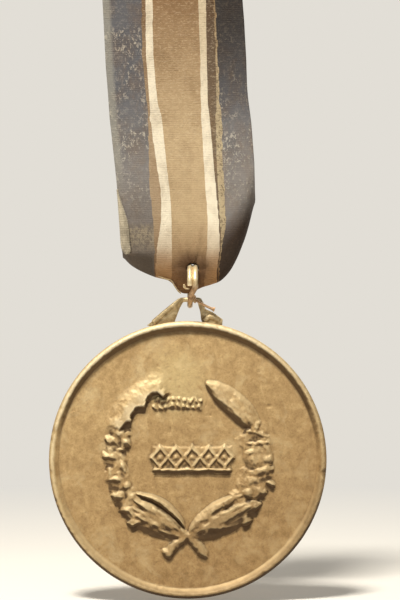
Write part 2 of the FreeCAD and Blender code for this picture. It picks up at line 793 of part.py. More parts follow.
for item in doc.Objects:
    if {"Invalid", "Error"} & set(item.State):
        raise RuntimeError(item.Label + " failed: " + str(item.State))
for part in PARTS:
    if part.Shape.isNull() or not part.Shape.isValid():
        raise RuntimeError(part.Label + " has no valid shape")

os.makedirs("parts", exist_ok=True)
for part in PARTS:
    part.Shape.exportStep(f"parts/{part.Label}.step")
    box = part.Shape.BoundBox
    print(f"{part.Label:16s} solids {len(part.Shape.Solids):3d}  volume {part.Shape.Volume:9.2f}  "
          f"x {box.XMin:7.2f} {box.XMax:7.2f}  y {box.YMin:7.2f} {box.YMax:7.2f}  "
          f"z {box.ZMin:7.2f} {box.ZMax:7.2f}")
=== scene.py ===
"""Looks of the military service medal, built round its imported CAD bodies.

Lengths are in millimetres and become metres where a mesh is made. The frame is the CAD's own: origin at
the disc's centre on its back plane, front towards -Y, +Z up.
"""

import json
import math

import bpy
import numpy as np
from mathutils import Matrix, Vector


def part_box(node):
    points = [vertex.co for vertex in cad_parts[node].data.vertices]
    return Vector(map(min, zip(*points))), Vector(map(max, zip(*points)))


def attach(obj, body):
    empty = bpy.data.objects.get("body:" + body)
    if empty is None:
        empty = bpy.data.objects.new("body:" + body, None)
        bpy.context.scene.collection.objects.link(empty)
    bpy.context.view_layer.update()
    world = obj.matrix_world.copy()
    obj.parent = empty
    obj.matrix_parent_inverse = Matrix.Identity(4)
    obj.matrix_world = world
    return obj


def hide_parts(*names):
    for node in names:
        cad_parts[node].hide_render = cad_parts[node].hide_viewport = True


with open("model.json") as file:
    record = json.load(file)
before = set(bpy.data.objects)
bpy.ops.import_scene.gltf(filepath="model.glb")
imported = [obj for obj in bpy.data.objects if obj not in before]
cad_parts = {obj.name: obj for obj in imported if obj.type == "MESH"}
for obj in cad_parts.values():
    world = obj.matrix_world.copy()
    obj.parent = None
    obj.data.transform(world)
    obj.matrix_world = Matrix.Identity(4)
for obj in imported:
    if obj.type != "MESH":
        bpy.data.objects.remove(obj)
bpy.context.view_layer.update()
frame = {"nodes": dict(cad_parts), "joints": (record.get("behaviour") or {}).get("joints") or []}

MM = 0.001
JOINT = {joint["name"]: np.array(joint["pos_m"]) / MM for joint in frame["joints"]}
ROD = JOINT["ribbon_swing"]
HOLE = JOINT["ring_sway"]
BAR = JOINT["medal_swing"]
HANG = ROD[1]                                   # depth of the plane that everything hangs in


def cad_box(node):
    """Lowest and highest corner of a CAD node in millimetres."""
    low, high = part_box(node)
    return np.array(low) / MM, np.array(high) / MM


# ------------------------------------------------------------------ noise and shaping

def smooth(value, start, end):
    """0 at start and before it, 1 at end and past it, with an even curve between. It may fall or rise."""
    share = np.clip((value - start) / (end - start), 0.0, 1.0)
    return share * share * (3 - 2 * share)


def within(value, start, full, fall, end):
    """1 from full to fall, and down to 0 at start and at end."""
    return smooth(value, start, full) * smooth(value, end, fall)


def blend(first, second, share):
    """A share of the way from one value to another."""
    return first * (1 - share) + second * share


def lattice(ix, iy, seed):
    """Repeatable random number from 0 to 1 for whole-number lattice points."""
    mixed = np.sin(ix * 127.1 + iy * 311.7 + seed * 74.7) * 43758.5453
    return mixed - np.floor(mixed)


def value_noise(x, y, seed):
    """Smooth noise from -1 to 1 with a period of one unit."""
    ix, iy = np.floor(x), np.floor(y)
    fx, fy = smooth(x - ix, 0, 1), smooth(y - iy, 0, 1)
    low, high = (blend(lattice(ix, row, seed), lattice(ix + 1, row, seed), fx) for row in (iy, iy + 1))
    return 2 * blend(low, high, fy) - 1


def line_noise(x, seed):
    """The same noise along one line."""
    return value_noise(x, 0 * x, seed)


def fractal(x, y, size, seed, octaves=3):
    """Layered noise whose coarsest features are about size across."""
    total, share, span = 0.0, 0.5, size
    for octave in range(octaves):
        total = total + share * value_noise(x / span + 13.7 * octave, y / span + 5.1 * octave, seed + octave)
        share, span = share / 2, span / 2
    return total


# ------------------------------------------------------------------ mesh helpers

def new_piece(name, points, faces, body, slot, replaces=None):
    """Smooth mesh from points in millimetres that rides on a body and may stand for a CAD node."""
    mesh = bpy.data.meshes.new(name)
    mesh.from_pydata((np.asarray(points) * MM).tolist(), [], faces)
    mesh.validate()
    mesh.polygons.foreach_set("use_smooth", [True] * len(mesh.polygons))
    piece = bpy.data.objects.new(name, mesh)
    bpy.context.scene.collection.objects.link(piece)
    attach(piece, body)
    if replaces:
        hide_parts(replaces)
    return piece


def dress(piece, material):
    """Gives a piece one material."""
    piece.data.materials.clear()
    piece.data.materials.append(material)


def thicken(piece, thickness):
    """Gives a strip of cloth its thickness, half of it on each side."""
    skin = piece.modifiers.new("cloth", "SOLIDIFY")
    skin.thickness = thickness * MM
    skin.offset = 0


def grid_faces(rows, columns, wrap=False):
    """Quads of a grid of points laid out row by row, its columns closed into a round where they wrap."""
    row, column = np.meshgrid(np.arange(rows - 1), np.arange(columns if wrap else columns - 1), indexing="ij")
    first, beside = row * columns + column, row * columns + (column + 1) % columns
    quads = np.stack([first, beside, beside + columns, first + columns], axis=-1)
    return quads.reshape(-1, 4).tolist()


def add_attribute(piece, name, values):
    """Number for each vertex that a material can read."""
    attribute = piece.data.attributes.new(name, "FLOAT", "POINT")
    attribute.data.foreach_set("value", np.asarray(values, dtype=np.float32).ravel())


def tube(path, radii, sides):
    """Points and faces of a closed round tube along a path, with one radius or one for each point."""
    path = np.asarray(path, dtype=float)
    radii = np.broadcast_to(np.asarray(radii, dtype=float), (len(path),))
    tangent = np.gradient(path, axis=0)
    tangent /= np.linalg.norm(tangent, axis=1)[:, None]
    normal = np.zeros_like(path)
    start = np.array([1.0, 0.0, 0.0]) if abs(tangent[0][0]) < 0.9 else np.array([0.0, 1.0, 0.0])
    for index, along in enumerate(tangent):
        start = start - along * np.dot(start, along)
        start /= np.linalg.norm(start)
        normal[index] = start
    across = np.cross(tangent, normal)
    turn = np.linspace(0, 2 * np.pi, sides, endpoint=False)
    ring = (normal[:, None, :] * np.cos(turn)[None, :, None]
            + across[:, None, :] * np.sin(turn)[None, :, None])
    points = (path[:, None, :] + ring * radii[:, None, None]).reshape(-1, 3)
    points = np.vstack([points, path[0], path[-1]])
    first, last = len(points) - 2, len(points) - 1
    base = first - sides
    faces = grid_faces(len(path), sides, wrap=True)
    faces += [[first, (side + 1) % sides, side] for side in range(sides)]
    faces += [[last, base + side, base + (side + 1) % sides] for side in range(sides)]
    return points, faces


def merge(shapes):
    """One list of points and faces from several."""
    points, faces, count = [], [], 0
    for more_points, more_faces in shapes:
        points.append(more_points)
        faces += [[index + count for index in face] for face in more_faces]
        count += len(more_points)
    return np.vstack(points), faces


def spline(points, count):
    """Smooth curve through points, sampled evenly by a Catmull-Rom rule."""
    points = np.asarray(points, dtype=float)
    padded = np.vstack([2 * points[0] - points[1], points, 2 * points[-1] - points[-2]])
    samples = np.linspace(0, len(points) - 1, count)
    span = np.minimum(samples.astype(int), len(points) - 2)
    share = (samples - span)[:, None]
    before, start, end, after = (padded[span + offset] for offset in range(4))
    return 0.5 * (2 * start + (end - before) * share
                  + (2 * before - 5 * start + 4 * end - after) * share ** 2
                  + (3 * start - before - 3 * end + after) * share ** 3)


# ------------------------------------------------------------------ struck disc

DISC_LOW, DISC_HIGH = cad_box("medal_disc")
DISC_RADIUS = DISC_HIGH[0]
DISC_FRONT = DISC_LOW[1]
FIELD_SINK = 1.0                                # depth of the field below the rim's top
BACK_SINK = 0.5                                 # the same on the back
RIM_WIDTH = 1.85
RIM_CREST = DISC_RADIUS - 0.6
SEGMENTS = 720
EDGE_ROWS = 6                                   # rows of points on the disc's edge
BEADS = 72                                      # small beads round the back
BEAD_RING, BEAD_SIZE = 20.3, 0.6
STAR_TIP, STAR_NOTCH = 12.0, 4.8                # the back's star: distance of its points and its notches
MAP_STEP = 0.11                                 # even grid for looking up the front's height
MAP_LINE = np.arange(-27.0, 27.0, MAP_STEP)
TILT_REACH = 0.3                                # slopes are taken over this distance, up and down
STRIP_Z = 10.1                                  # height of the strip beside the left branch's tip
SCALLOP_STEP = 8.6                              # degrees between two scallops of the left branch
LOZENGES, LOZENGE_PITCH, LOZENGE_WIDE, LOZENGE_TALL = 5, 2.9, 1.8, 2.2
MELT = 7                                        # high, so that merged lumps keep their own tops

# Leaves as foot, head, half width, height, bow, how far the ridge lies off the middle line, and fold depth.
LEAVES = [
    ((-0.4, -13.6), (-12.2, -8.3), 2.5, 0.82, 0.5, -0.35, 0.24),
    ((-0.5, -12.1), (-9.4, -6.0), 0.75, 0.84, -1.15, 0.0, 0.08),
    ((-1.2, -12.9), (-9.8, -7.1), 1.45, 0.95, -0.1, 0.1, 0.16),
    ((0.2, -13.6), (12.9, -7.6), 2.75, 0.92, -0.3, 0.35, 0.26),
    ((0.2, -13.0), (10.0, -6.3), 1.2, 0.92, 0.7, 0.0, 0.16),
    ((2.2, -12.8), (11.6, -8.2), 1.3, 0.95, 0.0, 0.2, 0.24),
    ((12.8, 5.7), (3.3, 14.1), 2.3, 0.95, -0.35, 0.22, 0.1),
]
# Lumps as angle from the foot (minus is left), distance from the centre, half length, half width, tilt
# and height.
LUMPS = [
    (-30, 13.5, 0.8, 0.5, -30, 0.85), (-20, 12.9, 0.7, 0.45, -25, 0.85), (-40, 14.5, 1.5, 0.6, 15, 0.92),
    (-50.7, 14.2, 1.4, 0.7, 0, 0.95), (-56, 12.2, 0.9, 0.7, 40, 0.80), (-62.7, 14.0, 1.3, 0.7, 5, 0.95),
    (-68, 12.0, 0.8, 0.9, 40, 0.80), (-75, 13.4, 1.6, 0.5, 5, 0.92), (-81, 14.3, 0.6, 0.9, 10, 0.75),
    (-84, 11.9, 0.6, 1.0, 0, 0.88), (-92, 13.9, 1.5, 0.6, -10, 0.95), (-99, 12.3, 0.8, 0.6, 30, 0.80),
    (-104, 13.9, 1.3, 0.55, -25, 0.92), (-105, 11.8, 0.9, 0.6, -20, 0.88), (-112, 13.2, 1.0, 0.8, 60, 0.88),
    (44, 15.0, 1.1, 0.8, 40, 0.85), (49, 12.9, 1.1, 0.7, 35, 0.90), (55, 14.6, 1.3, 0.6, 10, 0.85),
    (61, 12.4, 1.1, 0.8, -20, 0.95), (67, 14.3, 1.1, 0.6, -25, 0.80), (72, 12.2, 1.3, 0.8, 15, 0.95),
    (74, 15.4, 0.9, 0.4, -15, 0.70), (81, 13.2, 2.1, 0.7, 12, 0.95), (90, 11.8, 0.8, 0.6, -35, 0.85),
    (90, 14.3, 1.1, 0.8, 40, 0.84), (97, 11.4, 1.1, 0.5, 20, 0.86), (99, 14.0, 1.2, 0.5, -35, 0.80),
    (104, 12.9, 2.2, 0.34, 0, 0.92), (111, 13.4, 2.0, 0.34, -8, 0.88), (116, 13.6, 0.6, 1.1, -20, 0.86),
]


def from_line(x, z, foot, head):
    """How far along and aside of a line each point lies, and the line's length."""
    length = math.dist(foot, head)
    ux, uz = (head[0] - foot[0]) / length, (head[1] - foot[1]) / length
    x, z = x - foot[0], z - foot[1]
    return x * ux + z * uz, z * ux - x * uz, length


def leaf_height(x, z, foot, head, half_width, height, bow, crest, fold, seed):
    """Height of a plump, folded leaf between two points: bowed aside, its ridge off the middle line."""
    run, side, length = from_line(x, z, foot, head)
    share = np.clip(run / length, 0, 1)
    side = side - bow * 4 * share * (1 - share)
    wavy = 1 + 0.06 * line_noise(run / length * 4, seed)
    width = half_width * np.sin(np.pi * share ** 0.85) ** 0.6 * wavy + 1e-6
    across = side / width - crest
    across = np.where(across > 0, across / (1 - crest), -across / (1 + crest))
    crown = np.clip(1 - across ** 2, 0, 1)
    body = height * (0.6 + 0.4 * np.sin(np.pi * share) ** 0.5) * crown ** 0.95
    folds = value_noise(run * 0.5, side * 1.7, seed + 20) + 0.7 * value_noise(run, side * 2.2, seed + 40)
    folds = fold * height * folds * smooth(crown, 0.1, 0.6)
    return np.where((run > 0) & (run < length), np.clip(body + folds, 0, None), 0)


def lump_height(x, z, turn, radius, long, wide, tilt, height):
    """Height of one worn berry or leaf tip."""
    turn, lean = math.radians(turn), math.radians(tilt)
    x, z = x - radius * math.sin(turn), z + radius * math.cos(turn)
    along, aside = x * math.cos(lean) + z * math.sin(lean), z * math.cos(lean) - x * math.sin(lean)
    body = 1 - np.abs(along / (1.2 * long)) ** 2.2 - np.abs(aside / (1.32 * wide)) ** 2.2
    return height * np.clip(body, 0, 1) ** 0.6


def melted(heights):
    """Several heights as one: the highest wins, with soft joins."""
    return sum(height ** MELT for height in heights) ** (1 / MELT)


def crag_height(x, z, turn):
    """Height of the rough masses under the lumps of both branches."""
    right = smooth(x, -5, 5)
    reach = 1.75 + 0.6 * right + 0.5 * line_noise(turn / 5, 38)
    spread = np.exp(-((np.hypot(x, z) - 13.1 + 0.5 * right) / reach) ** 6)
    crag = 1 - 2 * np.abs(fractal(x, z, 1.9, 39, 2))
    from_foot = np.minimum(turn, 360 - turn)
    return np.clip((0.3 + 0.4 * crag) * spread * within(from_foot, 34, 46, 110, 121), 0, 1)


def scallop_height(x, z, turn):
    """Height of the left branch's end, a band with a scalloped inner edge."""
    scallop = np.abs(np.cos(np.pi * (turn - 116) / SCALLOP_STEP / 2)) ** 0.8
    inner_edge = 11.9 + 0.3 * smooth(turn, 120, 160) + scallop * smooth(turn, 160, 154)
    band = within(np.hypot(x, z), inner_edge - 0.1, inner_edge + 0.5, 13.9, 17.2)
    return band * within(turn, 106, 116, 158, 167) * (0.86 + 0.14 * fractal(x, z, 1.3, 46, 2))


def strip_height(x, z):
    """Two rows of small berries on a flat strip that leads to the left branch's tip."""
    height = 0.14 * smooth(np.abs(z - STRIP_Z), 1.2, 0.8) * within(x, -6.4, -5.6, 2.3, 2.9)
    for number in range(9):
        for row in (-1, 1):
            cx = -5.7 + 1.0 * number + 0.2 * row
            cz = STRIP_Z + 0.05 + 0.55 * row + 0.08 * math.sin(5.0 * number)
            bead = 1 - ((x - cx) / 0.45) ** 2 - ((z - cz) / 0.45) ** 2
            height = np.maximum(height, 0.4 * np.sqrt(np.clip(bead, 0, 1)))
    return height


def stem_height(x, z):
    """The two stems, crossing at the foot of the wreath."""
    height = np.zeros_like(x)
    for foot, head, bend in (((-3.6, -16.9), (0.6, -13.6), 0.4), ((2.7, -16.8), (-0.6, -13.5), -0.35)):
        run, side, length = from_line(x, z, foot, head)
        side = side - bend * np.sin(np.pi * np.clip(run / length, 0, 1))
        past = run - np.clip(run, 0, length)
        height = np.maximum(height, 0.6 * np.clip(1 - side ** 2 - past ** 2, 0, 1) ** 0.8)
    return height


def wreath_height(x, z):
    """Height of the open wreath above the field: craggy masses with worn leaves and berries on them."""
    warp_x, warp_z = (value_noise(x / 1.1, z / 1.1, seed) + 0.5 * value_noise(x / 0.45, z / 0.45, seed + 1)
                      for seed in (31, 33))
    rough = fractal(x, z, 1.1, 21)
    near_x, near_z = x + 0.09 * warp_x, z + 0.09 * warp_z
    leaves = melted(leaf_height(near_x, near_z, *leaf, 35 + number) for number, leaf in enumerate(LEAVES))
    x, z = x + 0.27 * warp_x, z + 0.27 * warp_z
    turn = np.degrees(np.arctan2(-x, -z)) % 360
    lumps = [lump_height(x, z, *lump) for lump in LUMPS]
    masses = melted([*lumps, crag_height(x, z, turn)]) * (0.88 + 0.26 * rough)
    parts = [leaves * (0.97 + 0.1 * rough), masses, scallop_height(x, z, turn), strip_height(x, z),
             stem_height(x, z)]
    return np.max(parts, axis=0)


def tablet_height(x, z):
    """Chain of open lozenges with pellets over a plain bar, in place of any inscription."""
    x = x + 0.10 * value_noise(x / 0.9, z / 0.9, 36)
    z = z + 0.10 * value_noise(x / 0.9, z / 0.9, 37)
    across, up = x - 0.8, z - 0.4
    height = 0.2 * smooth(-np.maximum(np.abs(across) - 7.4, np.abs(up) - 2.2), 0.0, 0.6)
    for number in range(LOZENGES):
        aside = across - (number - (LOZENGES - 1) / 2) * LOZENGE_PITCH
        reach = np.abs(aside) / LOZENGE_WIDE + np.abs(up) / LOZENGE_TALL
        stroke = 0.5 * np.exp(-((reach - 0.8) / 0.25) ** 4)
        pellet = 0.42 * np.clip(1 - (aside ** 2 + up ** 2) / 0.62 ** 2, 0, 1) ** 0.7
        height = np.maximum(height, np.maximum(stroke, pellet))
    bar = smooth(np.abs(up + LOZENGE_TALL), 0.45, 0.1) * smooth(np.abs(across), 7.5, 6.7)
    return np.maximum(height, 0.55 * bar)


def rim_height(radius, turn):
    """Height of the raised rim above the field: a worn, half-round bead."""
    wander = 0.05 * line_noise(turn * 6, 41) + 0.03 * line_noise(turn * 23, 42)
    wall = smooth(radius, DISC_RADIUS - RIM_WIDTH + wander, RIM_CREST) ** 0.8
    outer = np.clip((radius - RIM_CREST) / (DISC_RADIUS - RIM_CREST), 0, 1)
    worn = 0.04 * value_noise(turn * 40, radius * 2, 43) + 0.025 * value_noise(turn * 110, radius * 5, 44)
    return FIELD_SINK * wall * (1 - 0.5 * outer ** 2) + wall * (worn - 0.045)


def nicks(x, z):
    """Dents round the rim, as negative heights: four placed ones and small scattered ones."""
    random = np.random.default_rng(17)
    spots = [(-24.4, 5.2, 0.8, 0.3), (-24.6, 3.6, 0.5, 0.2), (24.6, -2.5, 0.8, 0.3), (24.3, -4.0, 0.4, 0.2)]
    for _ in range(26):
        turn = random.uniform(0, 2 * np.pi)
        reach = DISC_RADIUS - random.uniform(0.0, 1.3)
        size, amount = random.uniform(0.15, 0.4), random.uniform(0.04, 0.13)
        spots.append((reach * np.cos(turn), reach * np.sin(turn), size, amount))
    dents = (amount * np.exp(-((x - cx) ** 2 + (z - cz) ** 2) / size ** 2) for cx, cz, size, amount in spots)
    return -sum(dents)


def disc_relief(x, z):
    """Height of the disc's front above its field."""
    radius, turn = np.hypot(x, z), np.arctan2(x, z)
    raised = np.maximum(wreath_height(x, z), tablet_height(x, z))
    raised = raised + 0.06 * fractal(x, z, 0.8, 21) * smooth(raised, 0.05, 0.3)
    streak = fractal(x + 0.6 * z, 0.25 * (z - 0.6 * x), 0.9, 12, 2)
    field = 0.09 * fractal(x, z, 6.0, 5, 2) + 0.035 * fractal(x, z, 1.3, 9) + 0.045 * streak
    pits = np.clip(fractal(x, z, 0.8, 30, 2) - 0.4, 0, 1) * 0.4
    flat = 1 - smooth(radius, DISC_RADIUS - RIM_WIDTH - 0.3, DISC_RADIUS - RIM_WIDTH)
    return (field - pits) * flat + np.clip(raised, 0, 0.97) + rim_height(radius, turn) + nicks(x, z)


def star_height(radius, turn):
    """Height of the plain five-pointed star on the back, with ridges to its points."""
    fold = np.abs((turn + np.pi / 5) % (2 * np.pi / 5) - np.pi / 5)
    normal = np.array([STAR_NOTCH * np.sin(np.pi / 5), STAR_TIP - STAR_NOTCH * np.cos(np.pi / 5)])
    normal = normal / np.linalg.norm(normal)
    inside = (STAR_TIP - radius * np.cos(fold)) * normal[0] - radius * np.sin(fold) * normal[1]
    return np.where(inside > 0, np.clip(0.35 + inside / 3.4, 0, 1), 0)


def back_sink(x, z):
    """Depth of the back below its edge: a sunk field with a ridged star and a ring of beads."""
    radius, turn = np.hypot(x, z), np.arctan2(x, z)
    rounding = np.clip((radius - RIM_CREST) / (DISC_RADIUS - RIM_CREST), 0, 1)
    sink = BACK_SINK * (1 - smooth(radius, DISC_RADIUS - 2.0, DISC_RADIUS - 1.7))
    sink = sink * (1 - star_height(radius, turn)) + 0.3 * rounding ** 2
    sink = sink + 0.02 + 0.02 * fractal(x, z, 1.4, 61)
    pitch = 2 * np.pi * BEAD_RING / BEADS
    along = (turn * BEAD_RING) % pitch - pitch / 2
    bead = 1 - ((radius - BEAD_RING) ** 2 + along ** 2) / BEAD_SIZE ** 2
    return np.clip(sink - 0.34 * np.sqrt(np.clip(bead, 0, 1)), 0, None)


def box_blur(grid, reach):
    """Mean over a square of a polar grid, wrapped round its angle."""
    steps = range(-reach, reach + 1)
    rows = np.pad(sum(np.roll(grid, step, axis=1) for step in steps), ((reach, reach), (0, 0)), mode="edge")
    return sum(rows[reach + step:reach + step + len(grid)] for step in steps) / len(steps) ** 2


def look_up(grid, x, z):
    """Height of the even grid at any place, by straight lines between its points."""
    column, row = (np.clip((line - MAP_LINE[0]) / MAP_STEP, 0, len(MAP_LINE) - 1.001) for line in (x, z))
    left, low = column.astype(int), row.astype(int)
    lower, upper = (blend(grid[line, left], grid[line, left + 1], column - left) for line in (low, low + 1))
    return blend(lower, upper, row - low)


def painted_shadow_of(grid, x, z, height):
    """Painted shadow: how deep each point lies below higher work above it, fainter near the rim, with a
    darker band over the low ground round the strip.
    """
    painted_shadow = np.zeros_like(height)
    for reach in (0.4, 0.8, 1.2):
        painted_shadow = np.maximum(painted_shadow, look_up(grid, x, z + reach) - height - 0.25 * reach)
    under = 1.25 * (look_up(grid, x, z + 1.7) - height - 0.08)
    painted_shadow = np.maximum(painted_shadow, under * smooth(height, 0.03, 0.15))
    painted_shadow = painted_shadow * (1 - 0.5 * smooth(np.hypot(x, z), 18, 21))
    strip = smooth(np.abs(z - STRIP_Z), 1.5, 0.9) * within(x, -5.6, -4.6, 2.0, 3.2)
    return np.clip(painted_shadow + 0.24 * strip * smooth(height, 0.35, 0.05), 0, 1)


def polar_ring(radii):
    """X and Z of a polar grid."""
    turn = np.linspace(0, 2 * np.pi, SEGMENTS, endpoint=False)
    return np.outer(radii, np.sin(turn)), np.outer(radii, np.cos(turn))


def build_disc():
    """Closed mesh of the disc: front relief, edge and back relief."""
    fx, fz = polar_ring(np.concatenate([
        np.arange(0.16, 8, 0.2), np.arange(8, 17.5, 0.12), np.arange(17.5, DISC_RADIUS - 2.2, 0.19),
        np.linspace(DISC_RADIUS - 2.2, DISC_RADIUS, 26)]))
    height = disc_relief(fx, fz)
    front_y = np.maximum(DISC_FRONT + FIELD_SINK - height, DISC_FRONT)
    bx, bz = polar_ring(np.concatenate([
        np.linspace(DISC_RADIUS - 0.05, DISC_RADIUS - 2.0, 14), np.arange(DISC_RADIUS - 2.2, 0.2, -0.3)]))
    sink = back_sink(bx, bz)
    ex, ez = polar_ring(np.full(EDGE_ROWS, DISC_RADIUS))
    share = np.linspace(0, 1, EDGE_ROWS + 2)[1:-1, None]
    bulge = 1 - 0.03 * np.abs(value_noise(np.arctan2(ex, ez) * 30, share * 4, 51)) / DISC_RADIUS
    x = np.vstack([fx, ex * bulge, bx])
    y = np.vstack([front_y, blend(front_y[-1], -sink[0], share), -sink])
    z = np.vstack([fz, ez * bulge, bz])
    points = np.stack([x, y, z], axis=-1).reshape(-1, 3)
    points = np.vstack([points, [0, front_y[0].mean(), 0], [0, -sink[-1].mean(), 0]])
    front_middle, back_middle = len(points) - 2, len(points) - 1
    last = front_middle - SEGMENTS
    faces = grid_faces(len(x), SEGMENTS, wrap=True)
    faces += [[front_middle, (side + 1) % SEGMENTS, side] for side in range(SEGMENTS)]
    faces += [[back_middle, last + side, last + (side + 1) % SEGMENTS] for side in range(SEGMENTS)]
    faces = [face[::-1] for face in faces]
    disc = new_piece("struck_disc", points, faces, "medal", "aged_bronze", "medal_disc")
    grid = disc_relief(*np.meshgrid(MAP_LINE, MAP_LINE))
    # The tilt drives painted shade on surfaces that face down and painted highlights on those that face up,
    # on the front and on the back's star.
    tilt = look_up(grid, fx, fz + TILT_REACH) - look_up(grid, fx, fz - TILT_REACH)
    back_tilt = 2.2 * (back_sink(bx, bz - TILT_REACH) - back_sink(bx, bz + TILT_REACH))
    values = {
        "cavity": (height - box_blur(height, 5), 0, 1.6 * (box_blur(sink, 4) - sink)),
        "lift": (height, 0.6, BACK_SINK - sink),
        "painted_shadow": (painted_shadow_of(grid, fx, fz, height), 0, 0 * sink),
        "tilt": (np.clip(tilt / (2 * TILT_REACH), -1, 1), 0, np.clip(back_tilt / (2 * TILT_REACH), -1, 1)),
    }
    for name, (front, edge, back) in values.items():
        whole = np.concatenate([front.ravel(), np.full(ex.size, edge), back.ravel(), [0, 0]])
        add_attribute(disc, name, whole)
    return disc


# ------------------------------------------------------------------ lug, ring and binding wire

# Outline of each leg of the lug as X, Z and how far its front face lies back.
LUG_LEGS = [
    [(-7.4, 24.2, 0.1), (-6.1, 25.25, 0.0), (-1.95, 28.8, 0.0), (-1.35, 29.22, 0.1), (-0.75, 29.1, 0.3),
     (-0.85, 28.4, 0.7), (-1.45, 27.3, 0.95), (-2.3, 25.1, 0.95), (-2.6, 24.2, 0.8), (-5.6, 23.7, 0.2)],
    [(1.75, 29.1, 0.5), (2.35, 29.15, 0.3), (2.85, 28.3, 0.3), (3.15, 27.2, 0.1), (4.6, 26.55, 0.0),
     (6.3, 25.3, 0.0), (6.2, 24.0, 0.1), (3.0, 24.1, 0.5), (2.4, 25.2, 0.8), (2.25, 26.6, 0.9),
     (1.85, 28.0, 0.8)],
]
RING_LOW, RING_HIGH = cad_box("split_ring")
RING_WIRE = 0.5                                 # radius of the ring's wire
RING_RADIUS = (RING_HIGH[2] - RING_LOW[2]) / 2 - RING_WIRE
RING_SIDES = 24
WHIP_TURNS = 5
WHIP_ARC = 10.0                                 # degrees of the ring on each side of its top
BINDING_WIRE = 0.23                             # radius of the copper wire


def prism(outline, low_y, high_y):
    """Points and faces of an outline stood between a front that may slope and a flat back."""
    count = len(outline)
    points = [(x, low_y + back, z) for x, z, back in outline] + [(x, high_y, z) for x, z, _ in outline]
    centre = np.mean(points[:count], axis=0)
    faces = [list(range(2 * count - 1, count - 1, -1))]
    sides = [(side, (side + 1) % count) for side in range(count)]
    faces += [[beside, side, side + count, beside + count] for side, beside in sides]
    faces += [[side, beside, 2 * count] for side, beside in sides]
    return np.vstack([points, centre]), faces


def build_lug():
    """Open lug in one skin: a round bar, a broad left leg, a thin right leg and solder at its foot."""
    low, high = cad_box("suspension_lug")
    front = low[1]
    shapes = [prism(outline, front - 0.1, high[1] + 0.1) for outline in LUG_LEGS]
    ridge = [(-1.5, front + 0.35, 28.8), (-3.6, front + 0.25, 27.05), (-6.2, front + 0.3, 24.75)]
    solder = [(2.9, front + 0.4, 25.0), (4.0, front + 0.3, 25.75), (5.6, front + 0.35, 25.1)]
    bar = [(x, HANG, BAR[2]) for x in (-1.15, 0.4, 2.1)]
    shapes.append(tube(spline(ridge, 20), np.linspace(0.36, 0.5, 20), 14))
    shapes.append(tube(spline(solder, 16), np.linspace(0.4, 0.5, 16), 14))
    shapes.append(tube(spline(bar, 20), 0.43, 20))
    lug = new_piece("cast_lug", *merge(shapes), "medal", "lug_bronze", "suspension_lug")
    skin = lug.modifiers.new("skin", "REMESH")
    skin.mode = "VOXEL"
    skin.voxel_size = 0.1 * MM
    skin.use_smooth_shade = True
    soften = lug.modifiers.new("soften", "SMOOTH")
    soften.factor = 0.5
    soften.iterations = 5
    return lug


def on_ring(x, radius, angle):
    """Points round the ring's centre, by an angle in radians from the front and over the top."""
    middle_z = (RING_HIGH[2] + RING_LOW[2]) / 2
    return np.stack([x, HANG - radius * np.cos(angle), middle_z + radius * np.sin(angle)], axis=1)


def build_ring():
    """Split ring of worn round wire: two coils above, one below, and a small burr at its cut end in front."""
    turn = np.linspace(0, 540, 360)
    first_x, second_x = RING_LOW[0] + RING_WIRE + 0.04, RING_HIGH[0] - RING_WIRE - 0.04
    x = blend(first_x, second_x, smooth(turn, 322, 362)) + 0.1 * np.exp(-((turn - 318) / 16) ** 2)
    path = on_ring(x, RING_RADIUS * (1 + 0.006 * line_noise(turn / 40, 71)), np.radians(turn))
    run = np.arange(len(path))
    radii = RING_WIRE * (0.98 + 0.012 * line_noise(run / 9, 72))
    radii = radii * np.where(run < 3, 0.86 + 0.045 * run, 1)
    radii = radii * np.where(run > len(run) - 5, 0.8 + 0.04 * (len(run) - 1 - run), 1)
    radii = radii + 0.05 * np.exp(-((run - 238) / 5) ** 2)
    burr = spline([(-0.1, 0.35, -0.5), (-0.6, 0.3, -0.45), (-0.95, 0.1, -0.15), (-1.05, 0.0, 0.3)], 24)
    burr_radii = np.interp(np.arange(24), [0, 8, 16, 23], [0.12, 0.15, 0.26, 0.14])
    spur = tube(path[0] + burr, burr_radii, 12)
    points, faces = merge([tube(path, radii, RING_SIDES), spur])
    ring = new_piece("worn_split_ring", points, faces, "ring", "ring_brass", "split_ring")
    along = np.repeat(run / run[-1], RING_SIDES)
    add_attribute(ring, "along", np.concatenate([along, [0, 1], np.zeros(len(spur[0]))]))
    return ring


def build_whipping():
    """Fine thread wound round both coils at the top of the ring, where it runs inside the fold."""
    share = np.linspace(0, 1, 260)
    phase = 2 * np.pi * WHIP_TURNS * share
    round_x, round_z = (np.sign(part) * np.abs(part) ** 0.75 for part in (np.cos(phase), np.sin(phase)))
    arc = np.radians(90 + WHIP_ARC * (2 * share - 1))
    middle_x, reach_x = (RING_LOW[0] + RING_HIGH[0]) / 2, (RING_HIGH[0] - RING_LOW[0]) / 2 + 0.08
    thread = on_ring(middle_x + reach_x * round_x, RING_RADIUS + (RING_WIRE + 0.1) * round_z, arc)
    core = on_ring(middle_x + 0 * arc, RING_RADIUS, arc)[::20]
    points, faces = merge([tube(thread, 0.13, 8), tube(core, 0.28, 8)])
    return new_piece("ring_whipping", points, faces, "ring", "sewing_thread")


